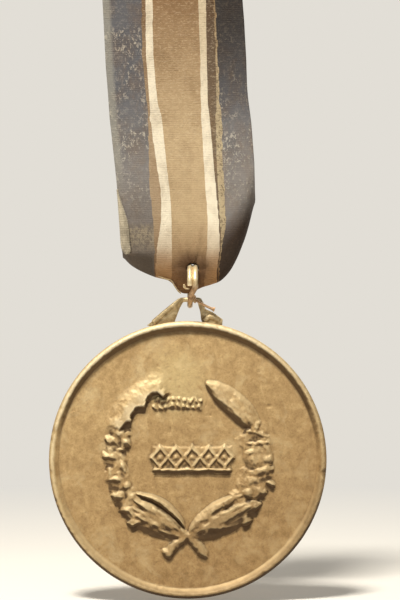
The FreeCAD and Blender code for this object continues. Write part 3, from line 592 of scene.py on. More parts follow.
def build_binding_wire():
    """Copper wire hooked over the bar, with a nipped and flattened tail end."""
    reach, front, bar_z = 0.63, HANG - 0.92, BAR[2]
    hook = [(1.2 + 0.0004 * turn, HANG - reach * math.cos(math.radians(turn)),
             bar_z + reach * math.sin(math.radians(turn))) for turn in range(230, 0, -30)]
    tail = [(1.5, front + 0.1, bar_z - 0.12), (2.3, front, bar_z - 0.58), (3.4, front, bar_z - 1.18),
            (4.3, front - 0.02, bar_z - 1.6), (4.85, front - 0.05, bar_z - 1.78)]
    path = spline(hook + tail, 120)
    radii = BINDING_WIRE + 0.19 * smooth(np.arange(120), 106, 119)
    points, faces = tube(path, radii, 14)
    flat = 0.45 * smooth(points[:, 0], 4.2, 4.8)
    points[:, 1] = blend(points[:, 1], front - 0.05, flat)
    return new_piece("copper_binding", points, faces, "medal", "copper_wire", "binding_wire")


# ------------------------------------------------------------------ ribbon

RIBBON_THICK = 0.42
LOOP_RADIUS = 1.15                              # middle of the cloth where it wraps the rod
COLUMNS = 116
FLAP_START, FLAP_END = 8.0, 3.5                 # below the rod's axis
FLAP_LAP = 2.5                                  # how far the folded end reaches over the loop's start
FLAP_ROWS = 21
EDGE_HEIGHTS = [30, 36.8, 38.8, 43.3, 47, 52.4, 61.4, 70.5, 83.2, 94]
LEFT_EDGE = [-11.2, -11.6, -12.0, -12.3, -12.55, -13.1, -14.15, -14.8, -15.4, -15.8]
RIGHT_EDGE = [11.3, 11.35, 11.4, 11.75, 12.05, 11.9, 11.2, 10.5, 9.95, 9.6]
# Each of the next four has places from left to right across the fold, and then a value at each place.
LOWEST = (
    [-11.4, -11.1, -10.2, -8.7, -6.3, -3.6, -2.9, -2.2, -1.5, -0.8, 0.3,
     1.3, 2.2, 3.6, 5.8, 7.6, 9.0, 10.1, 10.8, 11.0, 11.2, 11.4],
    [37.2, 36.2, 35.3, 34.3, 33.2, 32.6, 32.3, 31.3, 30.35, 30.1, 30.2,
     30.7, 31.2, 31.6, 32.3, 34.2, 37.0, 40.0, 43.2, 45.0, 47.5, 50.5])
TURN_START = ([-11.6, -5.9, -4.9, 0.0, 3.5, 7.0, 9.0, 10.4, 11.4],
              [37.3, 37.3, 38.2, 38.8, 39.5, 43.8, 48.0, 51.5, 54.0])
DEPTH = ([-12, -10, -5, -1.5, 0.9, 3.2, 5.5, 9, 12], [3.0, 2.75, 1.9, 1.5, 1.35, 1.5, 2.15, 2.9, 3.3])
SHARPNESS = ([-11.6, -6.2, -5.4, 3.0, 7.0, 12.0], [1.15, 1.15, 1.9, 2.0, 1.8, 1.6])
# Right-hand limits of the blue, brown, white, tan, white, dark and frayed stripes at each height.
STRIPE_HEIGHTS = [34, 38.2, 42.3, 46.3, 48.7, 54.7, 61.8, 64, 73, 84]
STRIPES = np.array([
    [-5.83, -5.80, -2.9, 3.0, 5.3, 5.4, 5.5],
    [-5.85, -5.60, -2.9, 3.55, 5.85, 5.95, 6.1],
    [-6.20, -4.92, -3.0, 3.7, 5.75, 5.85, 6.8],
    [-6.45, -4.72, -3.1, 3.5, 5.45, 5.6, 6.7],
    [-6.90, -4.95, -3.4, 3.2, 5.15, 5.35, 6.5],
    [-6.95, -5.85, -4.0, 2.9, 4.65, 5.2, 6.2],
    [-7.05, -6.90, -4.75, 2.5, 3.95, 5.0, 6.1],
    [-7.20, -6.85, -5.45, 2.45, 3.65, 5.3, 5.8],
    [-8.15, -7.55, -6.3, 2.3, 3.4, 5.1, 5.3],
    [-8.30, -7.65, -6.45, 1.95, 3.25, 4.6, 4.7]])
FRAY = np.array([1.2, 1.2, 0.4, 0.3, 0.4, 1.2, 2.5])    # how much each of those limits wanders
HOLE_WIDE, HOLE_TALL = 1.17, 0.95               # half sizes of the hole for the ring
HOLE_Z = HOLE[2] + 0.18                         # its middle, a little above the ring's pivot
HOLE_CUT = 0.6                                  # cloth nearer than this share of the half size is cut out
HOLE_PUSH = 3.0                                 # cloth out to this many half sizes is pushed aside


def ribbon_edges(z):
    """Left and right edge of the ribbon at a height."""
    return np.interp(z, EDGE_HEIGHTS, LEFT_EDGE), np.interp(z, EDGE_HEIGHTS, RIGHT_EDGE)


def half_gap(z, turn_z, depth):
    """Distance of the straight cloth from the hanging plane: it opens evenly from the rod to the fold."""
    return blend(LOOP_RADIUS, depth, np.clip((ROD[2] - z) / (ROD[2] - turn_z), 0, 1))


def push_from_hole(x, z):
    """Slides cloth away from the hole, and tells how far off each point was and which points are cut out."""
    across, up = (x - HOLE[0]) / HOLE_WIDE, (z - HOLE_Z) / HOLE_TALL
    reach = np.hypot(across, up) + 1e-9
    moved = 1 + (reach - HOLE_CUT) * (HOLE_PUSH - 1) / (HOLE_PUSH - HOLE_CUT)
    moved = np.where(reach < HOLE_PUSH, moved, reach)
    cut = reach < HOLE_CUT
    beside = cut.copy()
    for axis in (0, 1):
        beside = beside | np.roll(beside, 1, axis) | np.roll(beside, -1, axis)
    moved = np.where(beside & ~cut, 1.0, moved) / reach
    return HOLE[0] + across * moved * HOLE_WIDE, HOLE_Z + up * moved * HOLE_TALL, reach, cut


def cloth_wrinkle(x, z, side):
    """Small unevenness of one ply along its normal: slow waves, gathers round the hole and worn threads."""
    crease = 0.3 * within(z, 37.5, 42.4, 42.5, 43.3) * smooth(x, -5.9, -6.8) * (side < 0)
    wave = 0.16 * value_noise(x / 9 + side, z / 16, 81) + 0.07 * value_noise(x / 3.5, z / 7 + side, 82)
    gather = np.exp(-((z - 36.0) / 4.5) ** 2) * np.exp(-((x - 2.2) / 4.0) ** 2)
    folds = 0.2 * np.sin((x - 0.2 * (z - 34)) * 3.4 + 1.5 * value_noise(x / 2, z / 5, 83))
    across, up = x - HOLE[0], z - HOLE[2]
    rays = 0.3 * np.cos(6 * np.arctan2(across, up) + 1.6 * value_noise(x, z / 2, 84))
    pucker = np.exp(-((np.hypot(across, up) - 2.0) / 1.5) ** 2)
    crush = np.clip(fractal(x, z, 2.4, 86, 2), -1, 1) * 0.22 * smooth(z, 47, 37) * smooth(x, -4.5, -7)
    curl = 0.35 * smooth(x, -10.2, -13.5) * within(z, 40, 50, 70, 84)
    height = crease + wave + gather * folds + rays * pucker + crush + curl + 0.03 * fractal(x, z, 0.7, 85, 2)
    calm = np.maximum(smooth(np.abs(across), 1.6, 3.2), smooth(up, 0.2, 1.4))
    return np.where(height > 0.08, 0.08 + (height - 0.08) * calm, height)


def fold_lines(share):
    """Across the ribbon: lowest edge, where its turn starts, depth of the turn and how sharp it is."""
    left, right = ribbon_edges(34.0)
    x = left + (right - left) * share
    lowest, turn_z = np.interp(x, *LOWEST), np.interp(x, *TURN_START)
    for _ in range(3):
        lowest, turn_z = (np.convolve(np.pad(line, 2, mode="edge"), np.ones(5) / 5, mode="valid")
                          for line in (lowest, turn_z))
    return lowest, turn_z, np.interp(x, *DEPTH), np.interp(x, *SHARPNESS)


def cloth_course(lowest, turn_z, power):
    """Height of each row of the strip in running order, and its side: -1 in front, 1 behind, 0 on the rod."""
    top, level = ROD[2], np.ones(COLUMNS)
    start = top - FLAP_START
    front = top + (turn_z - top) * np.linspace(0, 1, 170)[1:, None]
    bend = np.radians(np.concatenate([np.linspace(0, 90, 46)[1:], np.linspace(90, 180, 40)[1:]]))[:, None]
    fold = turn_z - (turn_z - lowest) * np.sin(bend) ** (2 / power)
    rise = turn_z + (start - FLAP_LAP - turn_z) * np.linspace(0, 1, 110)[1:, None]
    flap = np.linspace(start - FLAP_LAP, top - FLAP_END, FLAP_ROWS + 1)[1:]
    parts = [(np.outer(np.linspace(start, top, 18)[:-1], level), 1), (np.full((15, COLUMNS), top), 0),
             (front, -1), (fold[:44], -1), (fold[44:], 1), (rise, 1), (np.outer(flap, level), 1)]
    sides = [np.full((len(rows), 1), side) for rows, side in parts]
    return np.vstack([rows for rows, _ in parts]), np.vstack(sides)


def stripe_of(x, z, left, right):
    """Number of the stripe at each place, with the share of the way across it as the fraction."""
    limits = np.stack([np.interp(z, STRIPE_HEIGHTS, column) for column in STRIPES.T], axis=-1)
    fray = 0.05 * value_noise(z / 1.7, 0 * z + 3, 88) + 0.04 * value_noise(z / 0.9, 0 * z + 8, 89)
    edges = np.concatenate([left[..., None], limits + fray[..., None] * FRAY, right[..., None]], axis=-1)
    low, high = edges[..., :-1], edges[..., 1:]
    return np.clip((x[..., None] - low) / np.maximum(high - low, 1e-3), 0, 1).sum(axis=-1)


def build_ribbon():
    """Striped ribbon as one open strip: over the rod, down the front, round the fold and up the back."""
    top = ROD[2]
    share = np.linspace(0, 1, COLUMNS)
    lowest, turn_z, depth, power = fold_lines(share)
    z, side = cloth_course(lowest, turn_z, power)
    left, right = ribbon_edges(z)
    flat_x = left + (right - left) * share + 0.14 * value_noise(z / 6, 3 * share, 87) * (2 * share - 1) ** 6
    pushed_x, pushed_z, reach, cut = push_from_hole(flat_x, z)
    near = (reach < HOLE_PUSH) & (side != 0)
    z = np.where(near, np.maximum(pushed_z, lowest + 0.02), z)
    x = np.where(near, pushed_x, flat_x)
    sink = np.clip((turn_z - z) / (turn_z - lowest), 0, 1)
    gap = np.where(z < turn_z, depth * (1 - sink ** power) ** (1 / power), half_gap(z, turn_z, depth))
    gap = np.where(z > top - 0.01, LOOP_RADIUS, gap)
    lap_row = len(z) - FLAP_ROWS
    gap = gap + (RIBBON_THICK + 0.03) * smooth(np.arange(len(z))[:, None], lap_row - 6, lap_row + 4)
    steady = smooth(top - z, 1.0, 9.0) * (1 - 0.55 * smooth(sink, 0.55, 1.0))
    loose = np.where(side > 0, 1 - 0.6 * smooth(z, 90, 0), 0.4)
    y = HANG + side * (gap + cloth_wrinkle(x, z, side) * steady * loose)
    on_rod = side[:, 0] == 0
    over = np.radians(np.linspace(0, 180, on_rod.sum()))[:, None]
    y[on_rod] = HANG + LOOP_RADIUS * np.cos(over)
    z[on_rod] = top + LOOP_RADIUS * np.sin(over)
    points = np.stack([x, y, z], axis=-1).reshape(-1, 3)
    faces = np.array(grid_faces(len(z), COLUMNS))
    faces = faces[~(cut & (side != 0)).ravel()[faces].any(axis=1)]
    used, order = np.unique(faces, return_inverse=True)
    faces = order.reshape(faces.shape).tolist()
    ribbon = new_piece("striped_ribbon", points[used], faces, "strap", "ribbon_weave", "ribbon")
    steps = np.hypot(np.diff(y, axis=0), np.diff(z, axis=0))
    values = {
        "stripe": stripe_of(flat_x, z, left, right),
        "across": share * (RIGHT_EDGE[4] - LEFT_EDGE[4]) + 0 * z,
        "run": np.vstack([np.zeros(COLUMNS), np.cumsum(steps, axis=0)]),
        "under": smooth(sink, 0.04, 0.3),
        "hole_shade_and_soil": smooth(reach, 4.2, 1.2),
    }
    for name, value in values.items():
        add_attribute(ribbon, name, value.ravel()[used])
    thicken(ribbon, RIBBON_THICK)
    return ribbon


def build_selvage():
    """Loose strip along the ribbon's left edge, curled over and rounded at its end."""
    rows, columns = 60, 13
    z = np.linspace(48.6, 37.0, rows)[:, None]
    share = np.linspace(0, 1, columns)[None, :]
    full = 0.15 + 1.4 * smooth(z, 48.8, 41.5)
    width = full * np.sqrt(np.clip((z - 36.95) / 0.9, 0.02, 1))
    x = ribbon_edges(z)[0] + 0.04 + 0.5 * full + width * (share - 0.5)
    gap = half_gap(z, 37.2, np.interp(-11.5, *DEPTH)) + 0.42
    y = HANG - gap - 0.42 * np.sin(np.pi * share) + 0.05 * value_noise(x, z / 2, 91)
    points = np.stack([x, y, z + 0 * x], axis=-1).reshape(-1, 3)
    strip = new_piece("loose_selvage", points, grid_faces(rows, columns), "strap", "ribbon_weave")
    thicken(strip, 0.22)
    add_attribute(strip, "run", z + 0 * x)
    return strip


def build_edge_thread():
    """Pulled thread that hangs along the gathered corner of the fold."""
    path = spline([(-5.3, HANG - 0.75, 33.1), (-4.2, HANG - 0.85, 32.65), (-2.95, HANG - 0.9, 32.25),
                   (-2.35, HANG - 0.95, 31.3), (-1.75, HANG - 0.95, 30.45), (-1.25, HANG - 0.9, 30.0)], 60)
    return new_piece("pulled_thread", *tube(path, 0.12, 8), "strap", "sewing_thread")


def build_seam():
    """Two rows of twisted hand stitches across the folded end at the back."""
    random = np.random.default_rng(12)
    low, high = cad_box("seam_thread")
    half = 0.72                                 # half a stitch's length
    run = np.linspace(-half, half, 16)
    shapes = []
    for height in (low[2] + 0.35, high[2] - 0.35):
        for number in range(12):
            middle = -14.5 + 2.1 * number + random.uniform(-0.08, 0.08)
            tilt = random.uniform(-0.12, 0.12)
            gap = half_gap(height, np.interp(middle, *TURN_START), np.interp(middle, *DEPTH))
            y = HANG + gap + 1.5 * RIBBON_THICK + 0.05 - 0.3 * (np.abs(run) / half) ** 4
            for phase in (run * 9, run * 9 + np.pi):
                path = np.stack([middle + run, y + 0.055 * np.cos(phase),
                                 height + tilt * run + 0.055 * np.sin(phase)], axis=1)
                shapes.append(tube(path, 0.095, 8))
    return new_piece("hand_stitches", *merge(shapes), "strap", "sewing_thread", "seam_thread")


# ------------------------------------------------------------------ materials

def paint(red, green, blue):
    """Linear colour for a renderer from the usual 0 to 255 display values."""
    display = np.array([red, green, blue]) / 255
    linear = np.where(display <= 0.04045, display / 12.92, ((display + 0.055) / 1.055) ** 2.4)
    return (*linear.tolist(), 1.0)


class Finish:
    """A material and short ways to wire its nodes. Its places are in millimetres of the object's own frame,
    and its colour is built up layer by layer. Ramp, tint and stain take 0 to 255 display values."""

    def __init__(self, name):
        self.material = bpy.data.materials.new(name)
        self.material.use_nodes = True
        self.tree = self.material.node_tree
        self.shader = self.tree.nodes["Principled BSDF"]
        place = self.node("TexCoord").outputs["Object"]
        self.place = self.node("VectorMath", {0: place, "Scale": 1 / MM}, operation="SCALE").outputs[0]
        self.colour = None

    def wire(self, node, inputs):
        """Joins sources to a node's inputs, or sets an input when its source is a plain value."""
        for name, source in inputs.items():
            if isinstance(source, bpy.types.NodeSocket):
                self.tree.links.new(source, node.inputs[name])
            else:
                node.inputs[name].default_value = source

    def node(self, kind, inputs=None, **settings):
        """New node with its settings and inputs."""
        node = self.tree.nodes.new("ShaderNode" + kind)
        for name, value in settings.items():
            setattr(node, name, value)
        self.wire(node, inputs or {})
        return node

    def axes(self):
        """X, Y and Z of the place."""
        return self.node("SeparateXYZ", {0: self.place}).outputs[:]

    def sum(self, operation, *terms, clamp=False):
        """Result of a sum of numbers."""
        inputs = dict(enumerate(terms))
        return self.node("Math", inputs, operation=operation, use_clamp=clamp).outputs[0]

    def times(self, product, *terms):
        """Product of several numbers."""
        for term in terms:
            product = self.sum("MULTIPLY", product, term)
        return product

    def attribute(self, name):
        """Number stored on each vertex."""
        return self.node("Attribute", attribute_name=name).outputs["Fac"]

    def noise(self, size, detail=3.0, rough=0.55, stretch=(1, 1, 1), twist=0.0):
        """Noise from 0 to 1 whose features are about size across, longer along small stretches."""
        place = self.node("VectorMath", {0: self.place, 1: stretch}, operation="MULTIPLY").outputs[0]
        shape = {"Scale": 1 / size, "Detail": detail, "Roughness": rough, "Distortion": twist}
        return self.node("TexNoise", {"Vector": place, **shape}).outputs["Fac"]

    def ramp(self, value, stops, constant=False):
        """Colour of a value by a list of stops, each a place and its colour."""
        node = self.node("ValToRGB", {"Fac": value})
        node.color_ramp.interpolation = "CONSTANT" if constant else "LINEAR"
        elements = node.color_ramp.elements
        while len(elements) < len(stops):
            elements.new(0.5)
        for element, (place, colour) in zip(elements, stops):
            element.position = place
            element.color = paint(*colour)
        return node.outputs["Color"]

    def range(self, value, low, high, out_low=0.0, out_high=1.0):
        """Value moved evenly from one range to another and kept within it."""
        inputs = {"Value": value, "From Min": low, "From Max": high, "To Min": out_low, "To Max": out_high}
        return self.node("MapRange", inputs).outputs["Result"]

    def mix(self, share, first, second, kind="MIX"):
        """Mix of two colours."""
        inputs = {0: share, 6: first, 7: second}
        return self.node("Mix", inputs, data_type="RGBA", blend_type=kind).outputs[2]

    def tint(self, share, *colour):
        """Lays a share of a colour over the colour so far."""
        self.colour = self.mix(share, self.colour, paint(*colour))

    def stain(self, share, *colour):
        """Darkens a share of the colour so far by a colour."""
        self.colour = self.mix(share, self.colour, self.mix(1.0, self.colour, paint(*colour), "MULTIPLY"))

    def bump(self, height, distance, strength):
        """Normal of a surface raised by a height from 0 to 1 over a distance in millimetres."""
        inputs = {"Height": height, "Distance": distance * MM, "Strength": strength}
        return self.node("Bump", inputs).outputs["Normal"]

    def finish(self, rough, metal=0.0, normal=None, sheen=0.0):
        """Wires the shader and returns the material."""
        self.wire(self.shader, {"Base Color": self.colour, "Roughness": rough, "Metallic": metal,
                                "Sheen Weight": sheen})
        if normal is not None:
            self.wire(self.shader, {"Normal": normal})
        return self.material


def struck_bronze():
    """Matt, mottled bronze: dark in the hollows, worn light on the high places, with painted highlights on
    upward slopes and the rim's top, painted shadow under raised work and on downward slopes, painted shade
    towards the lower right and a painted pool of light above the middle.
    """
    look = Finish("struck_bronze")
    cavity, lift, tilt, painted_shadow = (look.attribute(name) for name in ("cavity", "lift", "tilt", "painted_shadow"))
    x, y, z = look.axes()
    blotch = look.noise(9.0, 4.0, 0.6)
    mottle = look.noise(1.8, 5.0, 0.72, twist=0.2)
    grain = look.noise(0.35, 3.0, 0.7)
    base = look.ramp(blotch, [(0.3, (168, 137, 92)), (0.5, (184, 153, 105)), (0.7, (196, 166, 117))])
    mottled = look.ramp(mottle, [(0.3, (142, 114, 74)), (0.5, (182, 152, 105)), (0.7, (212, 184, 134))])
    look.colour = look.mix(0.65, base, mottled)
    look.tint(look.range(grain, 0.5, 0.7, 0, 0.4), 124, 98, 64)
    pale = look.range(look.noise(5.0, 3.0, 0.6, twist=0.8), 0.52, 0.68)
    look.tint(look.times(pale, look.range(grain, 0.35, 0.6, 0.2, 0.6)), 214, 192, 148)
    wear = look.sum("ADD", look.range(cavity, 0.03, 0.30), look.range(lift, 0.6, 1.05, 0, 0.35), clamp=True)
    look.tint(look.times(wear, look.range(mottle, 0.3, 0.55, 0.55, 1.0)), 222, 201, 156)
    look.tint(look.range(cavity, -0.05, -0.28, 0, 0.92), 88, 62, 36)
    # Painted highlight: surfaces that face up are made lighter.
    look.tint(look.range(tilt, -0.12, -0.6, 0, 0.5), 228, 208, 164)
    # Painted shadow under raised work and painted shade on surfaces that face down.
    painted_shade = look.sum("MAXIMUM", look.range(painted_shadow, 0.04, 0.38, 0, 0.9), look.range(tilt, 0.1, 0.42, 0, 0.88))
    look.tint(painted_shade, 74, 52, 27)
    slope = look.sum("MULTIPLY_ADD", x, -0.45, z)
    # Painted shade: darker towards the lower right.
    look.stain(look.range(slope, 18.0, -26.0, 0, 0.75), 206, 196, 184)
    # Painted highlight on the top of the rim.
    on_rim = look.range(lift, 0.75, 0.95)
    look.tint(look.times(on_rim, look.range(slope, 2.0, 22.0, 0, 0.7)), 242, 226, 190)
    # Painted shade on the lower right of raised work.
    raised = look.range(lift, 0.3, 0.7)
    look.stain(look.times(raised, look.range(slope, -2.0, -22.0, 0, 0.8)), 196, 190, 182)
    # Painted pool of light on the front, above the middle, kept off surfaces that face down.
    across = look.sum("MULTIPLY_ADD", x, 0.16, 0.3)
    rise = look.sum("MULTIPLY_ADD", z, 0.13, -1.8)
    spread = look.sum("ADD", look.sum("POWER", across, 2.0), look.sum("POWER", rise, 2.0))
    painted_light_pool = look.times(look.range(spread, 1.0, 0.0, 0, 0.4), look.range(tilt, 0.1, 0.0))
    look.tint(look.times(painted_light_pool, look.range(y, -1.0, -1.4)), 214, 196, 144)
    height = look.sum("ADD", look.times(mottle, 0.6), look.times(grain, 0.5))
    return look.finish(look.range(mottle, 0.2, 0.8, 0.68, 0.52), 0.42, look.bump(height, 0.16, 0.8))


def plain_metal(name, dark, middle, light, size, metal, rough, depth, scratch=(1, 1, 1)):
    """Worn plain metal: three tones by noise, edges rubbed light, grimy corners and a fine surface grain."""
    look = Finish(name)
    tone = look.noise(size, 4.0, 0.62, scratch, 0.4)
    fine = look.noise(size / 6, 3.0, 0.6, scratch)
    edge = look.node("NewGeometry").outputs["Pointiness"]
    look.colour = look.ramp(tone, [(0.3, dark), (0.5, middle), (0.68, light)])
    look.tint(look.range(edge, 0.505, 0.56, 0, 0.7), *light)
    look.tint(look.range(edge, 0.495, 0.44, 0, 0.7), *[part * 0.45 for part in dark])
    roughness = look.range(fine, 0.25, 0.75, rough - 0.1, rough + 0.12)
    height = look.sum("ADD", look.times(tone, 0.5), look.times(fine, 0.5))
    return look.finish(roughness, metal, look.bump(height, depth, 0.7))


def ring_metal():
    """Brass wire: bright where it is rubbed above, coppery on the lower coil."""
    look = Finish("ring_metal")
    z = look.axes()[2]
    tone = look.noise(0.9, 4.0, 0.6, twist=0.4)
    bright = look.ramp(tone, [(0.3, (205, 178, 128)), (0.6, (250, 232, 192))])
    copper = look.ramp(tone, [(0.3, (112, 82, 56)), (0.6, (176, 142, 106))])
    lower = look.times(look.range(z, 32.6, 30.8), look.range(look.attribute("along"), 0.45, 0.6, 0.35, 1.0))
    look.colour = look.mix(lower, bright, copper)
    return look.finish(look.range(tone, 0.3, 0.7, 0.42, 0.3), 0.6, look.bump(tone, 0.06, 0.6))


def woven_ribbon():
    """Silk ribbon with fine cross ribs, faded stripes, worn white fibres, soiling and painted shade."""
    look = Finish("woven_ribbon")
    names = ("stripe", "across", "run", "under", "hole_shade_and_soil")
    stripe, across, run, under, hole_shade_and_soil = (look.attribute(name) for name in names)
    x, _, z = look.axes()
    blotch = look.noise(5.0, 3.0, 0.6)
    fleck = look.noise(0.62, 4.0, 0.78, (1.15, 1, 0.85), 0.5)
    soil = look.noise(3.2, 4.0, 0.65, (1, 1, 0.6), 0.5)
    speck = look.noise(0.5, 3.0, 0.7, twist=0.8)
    hair = look.noise(0.36, 3.0, 0.7, (0.6, 1, 1.5), 0.8)
    blue, brown, white = (95, 96, 101), (156, 134, 106), (224, 213, 190)
    tan, dark, frayed = (180, 156, 120), (104, 88, 70), (176, 160, 128)
    tones = [blue, brown, white, tan, white, dark, frayed, blue]
    off, on = (0, 0, 0), (255, 255, 255)
    place = look.sum("DIVIDE", stripe, float(len(tones)))
    look.colour = look.ramp(place, [(number / len(tones), tone) for number, tone in enumerate(tones)], True)
    is_white = look.ramp(place, [(0.0, off), (0.25, on), (0.375, off), (0.5, on), (0.625, off)], True)
    is_right_white = look.times(is_white, look.range(stripe, 3.99, 4.0))
    is_frayed = look.times(look.range(stripe, 5.99, 6.0), look.range(stripe, 7.0, 6.99))
    is_left_blue = look.range(stripe, 0.99, 1.0, 1, 0)
    is_right_blue = look.range(stripe, 7.0, 7.01)
    is_blue = look.sum("ADD", is_left_blue, is_right_blue, clamp=True)

    # Faded blue, pale pilling, wear and soil, then painted shade towards the top and the bottom.
    fade = look.times(look.range(z, 66, 48, 0, 0.7), look.range(z, 38, 48, 0.1, 1.0))
    look.tint(look.times(is_blue, fade), 142, 134, 126)
    pill = look.times(look.range(fleck, 0.53, 0.6), look.range(blotch, 0.42, 0.6, 0.15, 1.0),
                      look.range(z, 44, 54, 0.3, 1.0), look.range(is_blue, 0, 1, 0.12, 0.8))
    look.tint(pill, 208, 200, 184)
    look.tint(look.times(is_blue, look.range(blotch, 0.35, 0.65, 0.0, 0.3)), 70, 64, 62)
    look.tint(look.range(soil, 0.45, 0.7, 0, 0.3), 126, 98, 66)
    look.tint(look.times(look.range(speck, 0.52, 0.6), look.times(is_frayed, 0.75)), 96, 84, 66)
    # Painted shade: darker towards the top of the ribbon, and towards its bottom where it turns under.
    top_painted_shade = look.times(look.range(z, 58, 84, 0, 0.8), look.range(is_white, 0, 1, 1.0, 0.15),
                          look.range(is_left_blue, 0, 1, 1.0, 0.4))
    low_painted_shade = look.range(z, 43, 33.5, 0, 0.95)
    look.stain(look.sum("ADD", top_painted_shade, low_painted_shade, clamp=True), 150, 116, 78)

    # Painted shade under the fold, and painted shade on single stripes: the right blue where it curls back
    # and near the top, the right white near the top and the whites low down.
    look.tint(look.times(under, is_left_blue, 0.97), 32, 20, 11)
    # Painted shade where the right blue curls back.
    right_fold = look.sum("SUBTRACT", z, look.range(x, 5.0, 11.5, 0.0, 8.0))
    look.tint(look.times(look.range(right_fold, 41, 36, 0, 0.96), is_right_blue), 52, 38, 27)
    # Painted shade on the right blue near the top.
    look.tint(look.times(look.range(z, 60, 78, 0, 0.85), is_right_blue), 38, 34, 33)
    # Painted shade on the right white near the top.
    look.tint(look.times(look.range(z, 62, 76, 0, 0.75), is_right_white), 176, 158, 128)
    # Painted shade on the whites low down, where they turn under.
    look.tint(look.times(look.range(z, 38.5, 33.5, 0, 0.85), is_white), 150, 112, 72)

    # Combed fibres, the worn patch at the lower left, painted shade with soil round the hole and the pale
    # left edge.
    combed = look.times(look.range(z, 44, 60, 0.06, 0.19), look.range(is_blue, 0, 1, 1, 0.2))
    look.tint(look.times(combed, look.range(hair, 0.52, 0.62)), 96, 74, 50)
    look.tint(look.times(combed, look.range(hair, 0.46, 0.38)), 226, 206, 172)
    look.tint(look.times(look.range(z, 50, 41, 0, 0.6), is_left_blue), 104, 92, 80)
    patch = look.times(look.range(z, 42.8, 41.5), look.range(z, 37.0, 39.5),
                       look.times(is_left_blue, look.range(fleck, 0.42, 0.55)), 0.55)
    look.tint(patch, 160, 146, 120)
    # Painted shade with soil round the hole for the ring.
    look.tint(look.times(hole_shade_and_soil, look.range(soil, 0.3, 0.6, 0.65, 1.0)), 80, 56, 34)
    look.tint(look.times(look.range(across, 1.6, 1.0), look.range(z, 48, 54), 0.55), 150, 146, 134)

    # The weave: cross ribs with fine warp threads between them.
    ribs = look.sum("SINE", look.times(run, 2 * math.pi / 0.33))
    warp = look.sum("SINE", look.times(across, 2 * math.pi / 0.24))
    weave = look.times(look.sum("MULTIPLY_ADD", warp, 0.5, ribs), look.range(soil, 0.3, 0.65, 0.3, 1.0))
    look.colour = look.mix(1.0, look.colour, look.range(weave, -1.4, 1.4, 0.92, 1.04), "MULTIPLY")
    threads = look.sum("MULTIPLY_ADD", weave, 0.16, look.times(fleck, 1.8))
    look.wire(look.shader, {"Specular IOR Level": 0.25})
    return look.finish(look.range(soil, 0.3, 0.7, 0.72, 0.9), 0.0, look.bump(threads, 0.13, 0.8), 0.04)


def selvage_cloth():
    """Pale worn cloth of the curled edge."""
    look = Finish("selvage_cloth")
    tone = look.noise(1.1, 4.0, 0.65, (1, 1, 0.4))
    look.colour = look.ramp(tone, [(0.3, (122, 112, 94)), (0.5, (152, 141, 120)), (0.7, (180, 168, 144))])
    ribs = look.sum("SINE", look.times(look.attribute("run"), 2 * math.pi / 0.42))
    return look.finish(0.85, 0.0, look.bump(look.sum("MULTIPLY_ADD", ribs, 0.3, tone), 0.08, 0.7), 0.2)


def thread_cotton(name, dark, light):
    """Waxed sewing thread."""
    look = Finish(name)
    tone = look.noise(0.3, 3.0, 0.6)
    look.colour = look.ramp(tone, [(0.3, dark), (0.7, light)])
    return look.finish(0.8, 0.0, look.bump(tone, 0.03, 0.6), 0.15)


# ------------------------------------------------------------------ the medal

LUG_METAL = plain_metal("lug_metal", (120, 100, 69), (161, 141, 103), (208, 189, 150), 1.6, 0.45, 0.5, 0.08)
COPPER = plain_metal("copper_metal", (112, 80, 54), (164, 126, 90), (208, 172, 130), 0.7, 0.5, 0.42, 0.03)
COTTON = thread_cotton("thread_cotton", (120, 100, 70), (178, 156, 116))
dress(build_disc(), struck_bronze())
dress(build_lug(), LUG_METAL)
dress(build_ring(), ring_metal())
dress(build_binding_wire(), COPPER)
dress(build_ribbon(), woven_ribbon())
dress(build_selvage(), selvage_cloth())
dress(build_edge_thread(), COTTON)
dress(build_seam(), COTTON)
# Soiled thread, painted as dark as the shade inside the fold.
dress(build_whipping(), thread_cotton("shade_dark_cotton", (46, 32, 20), (84, 60, 38)))

PLATE = plain_metal("brooch_metal", (96, 76, 48), (150, 124, 82), (206, 180, 132), 2.2, 0.7, 0.45, 0.06)
BRASS = plain_metal("pin_metal", (120, 98, 62), (176, 150, 100), (222, 200, 152), 0.9, 0.8, 0.36, 0.03,
                    (0.3, 1, 1))
STEEL = plain_metal("needle_metal", (92, 92, 92), (150, 150, 148), (206, 206, 202), 1.4, 0.95, 0.26, 0.02,
                    (0.15, 1, 1))
# Each CAD node that stays visible, with its material, the width of its worn edges and its slot.
BROOCH_LOOKS = {
    "brooch_plate": (PLATE, 0.16, "brooch_bronze"),
    "ribbon_rod": (PLATE, 0.12, "brooch_bronze"),
    "hinge_bracket": (BRASS, 0.09, "pin_brass"),
    "hinge_rivet": (BRASS, 0.12, "pin_brass"),
    "catch_base": (BRASS, 0.09, "pin_brass"),
    "catch_barrel": (BRASS, 0.1, "pin_brass"),
    "brooch_needle": (STEEL, 0.05, "needle_steel"),
}
for node_name, (material, worn_edge, slot_name) in BROOCH_LOOKS.items():
    node = frame["nodes"][node_name]
    dress(node, material)
    bevel = node.modifiers.new("worn_edges", "BEVEL")
    bevel.width = worn_edge * MM
    bevel.segments = 3
    bevel.limit_method = "ANGLE"
    bevel.angle_limit = math.radians(35)
    bevel.harden_normals = True

# ------------------------------------------------------------------ floor, light and camera

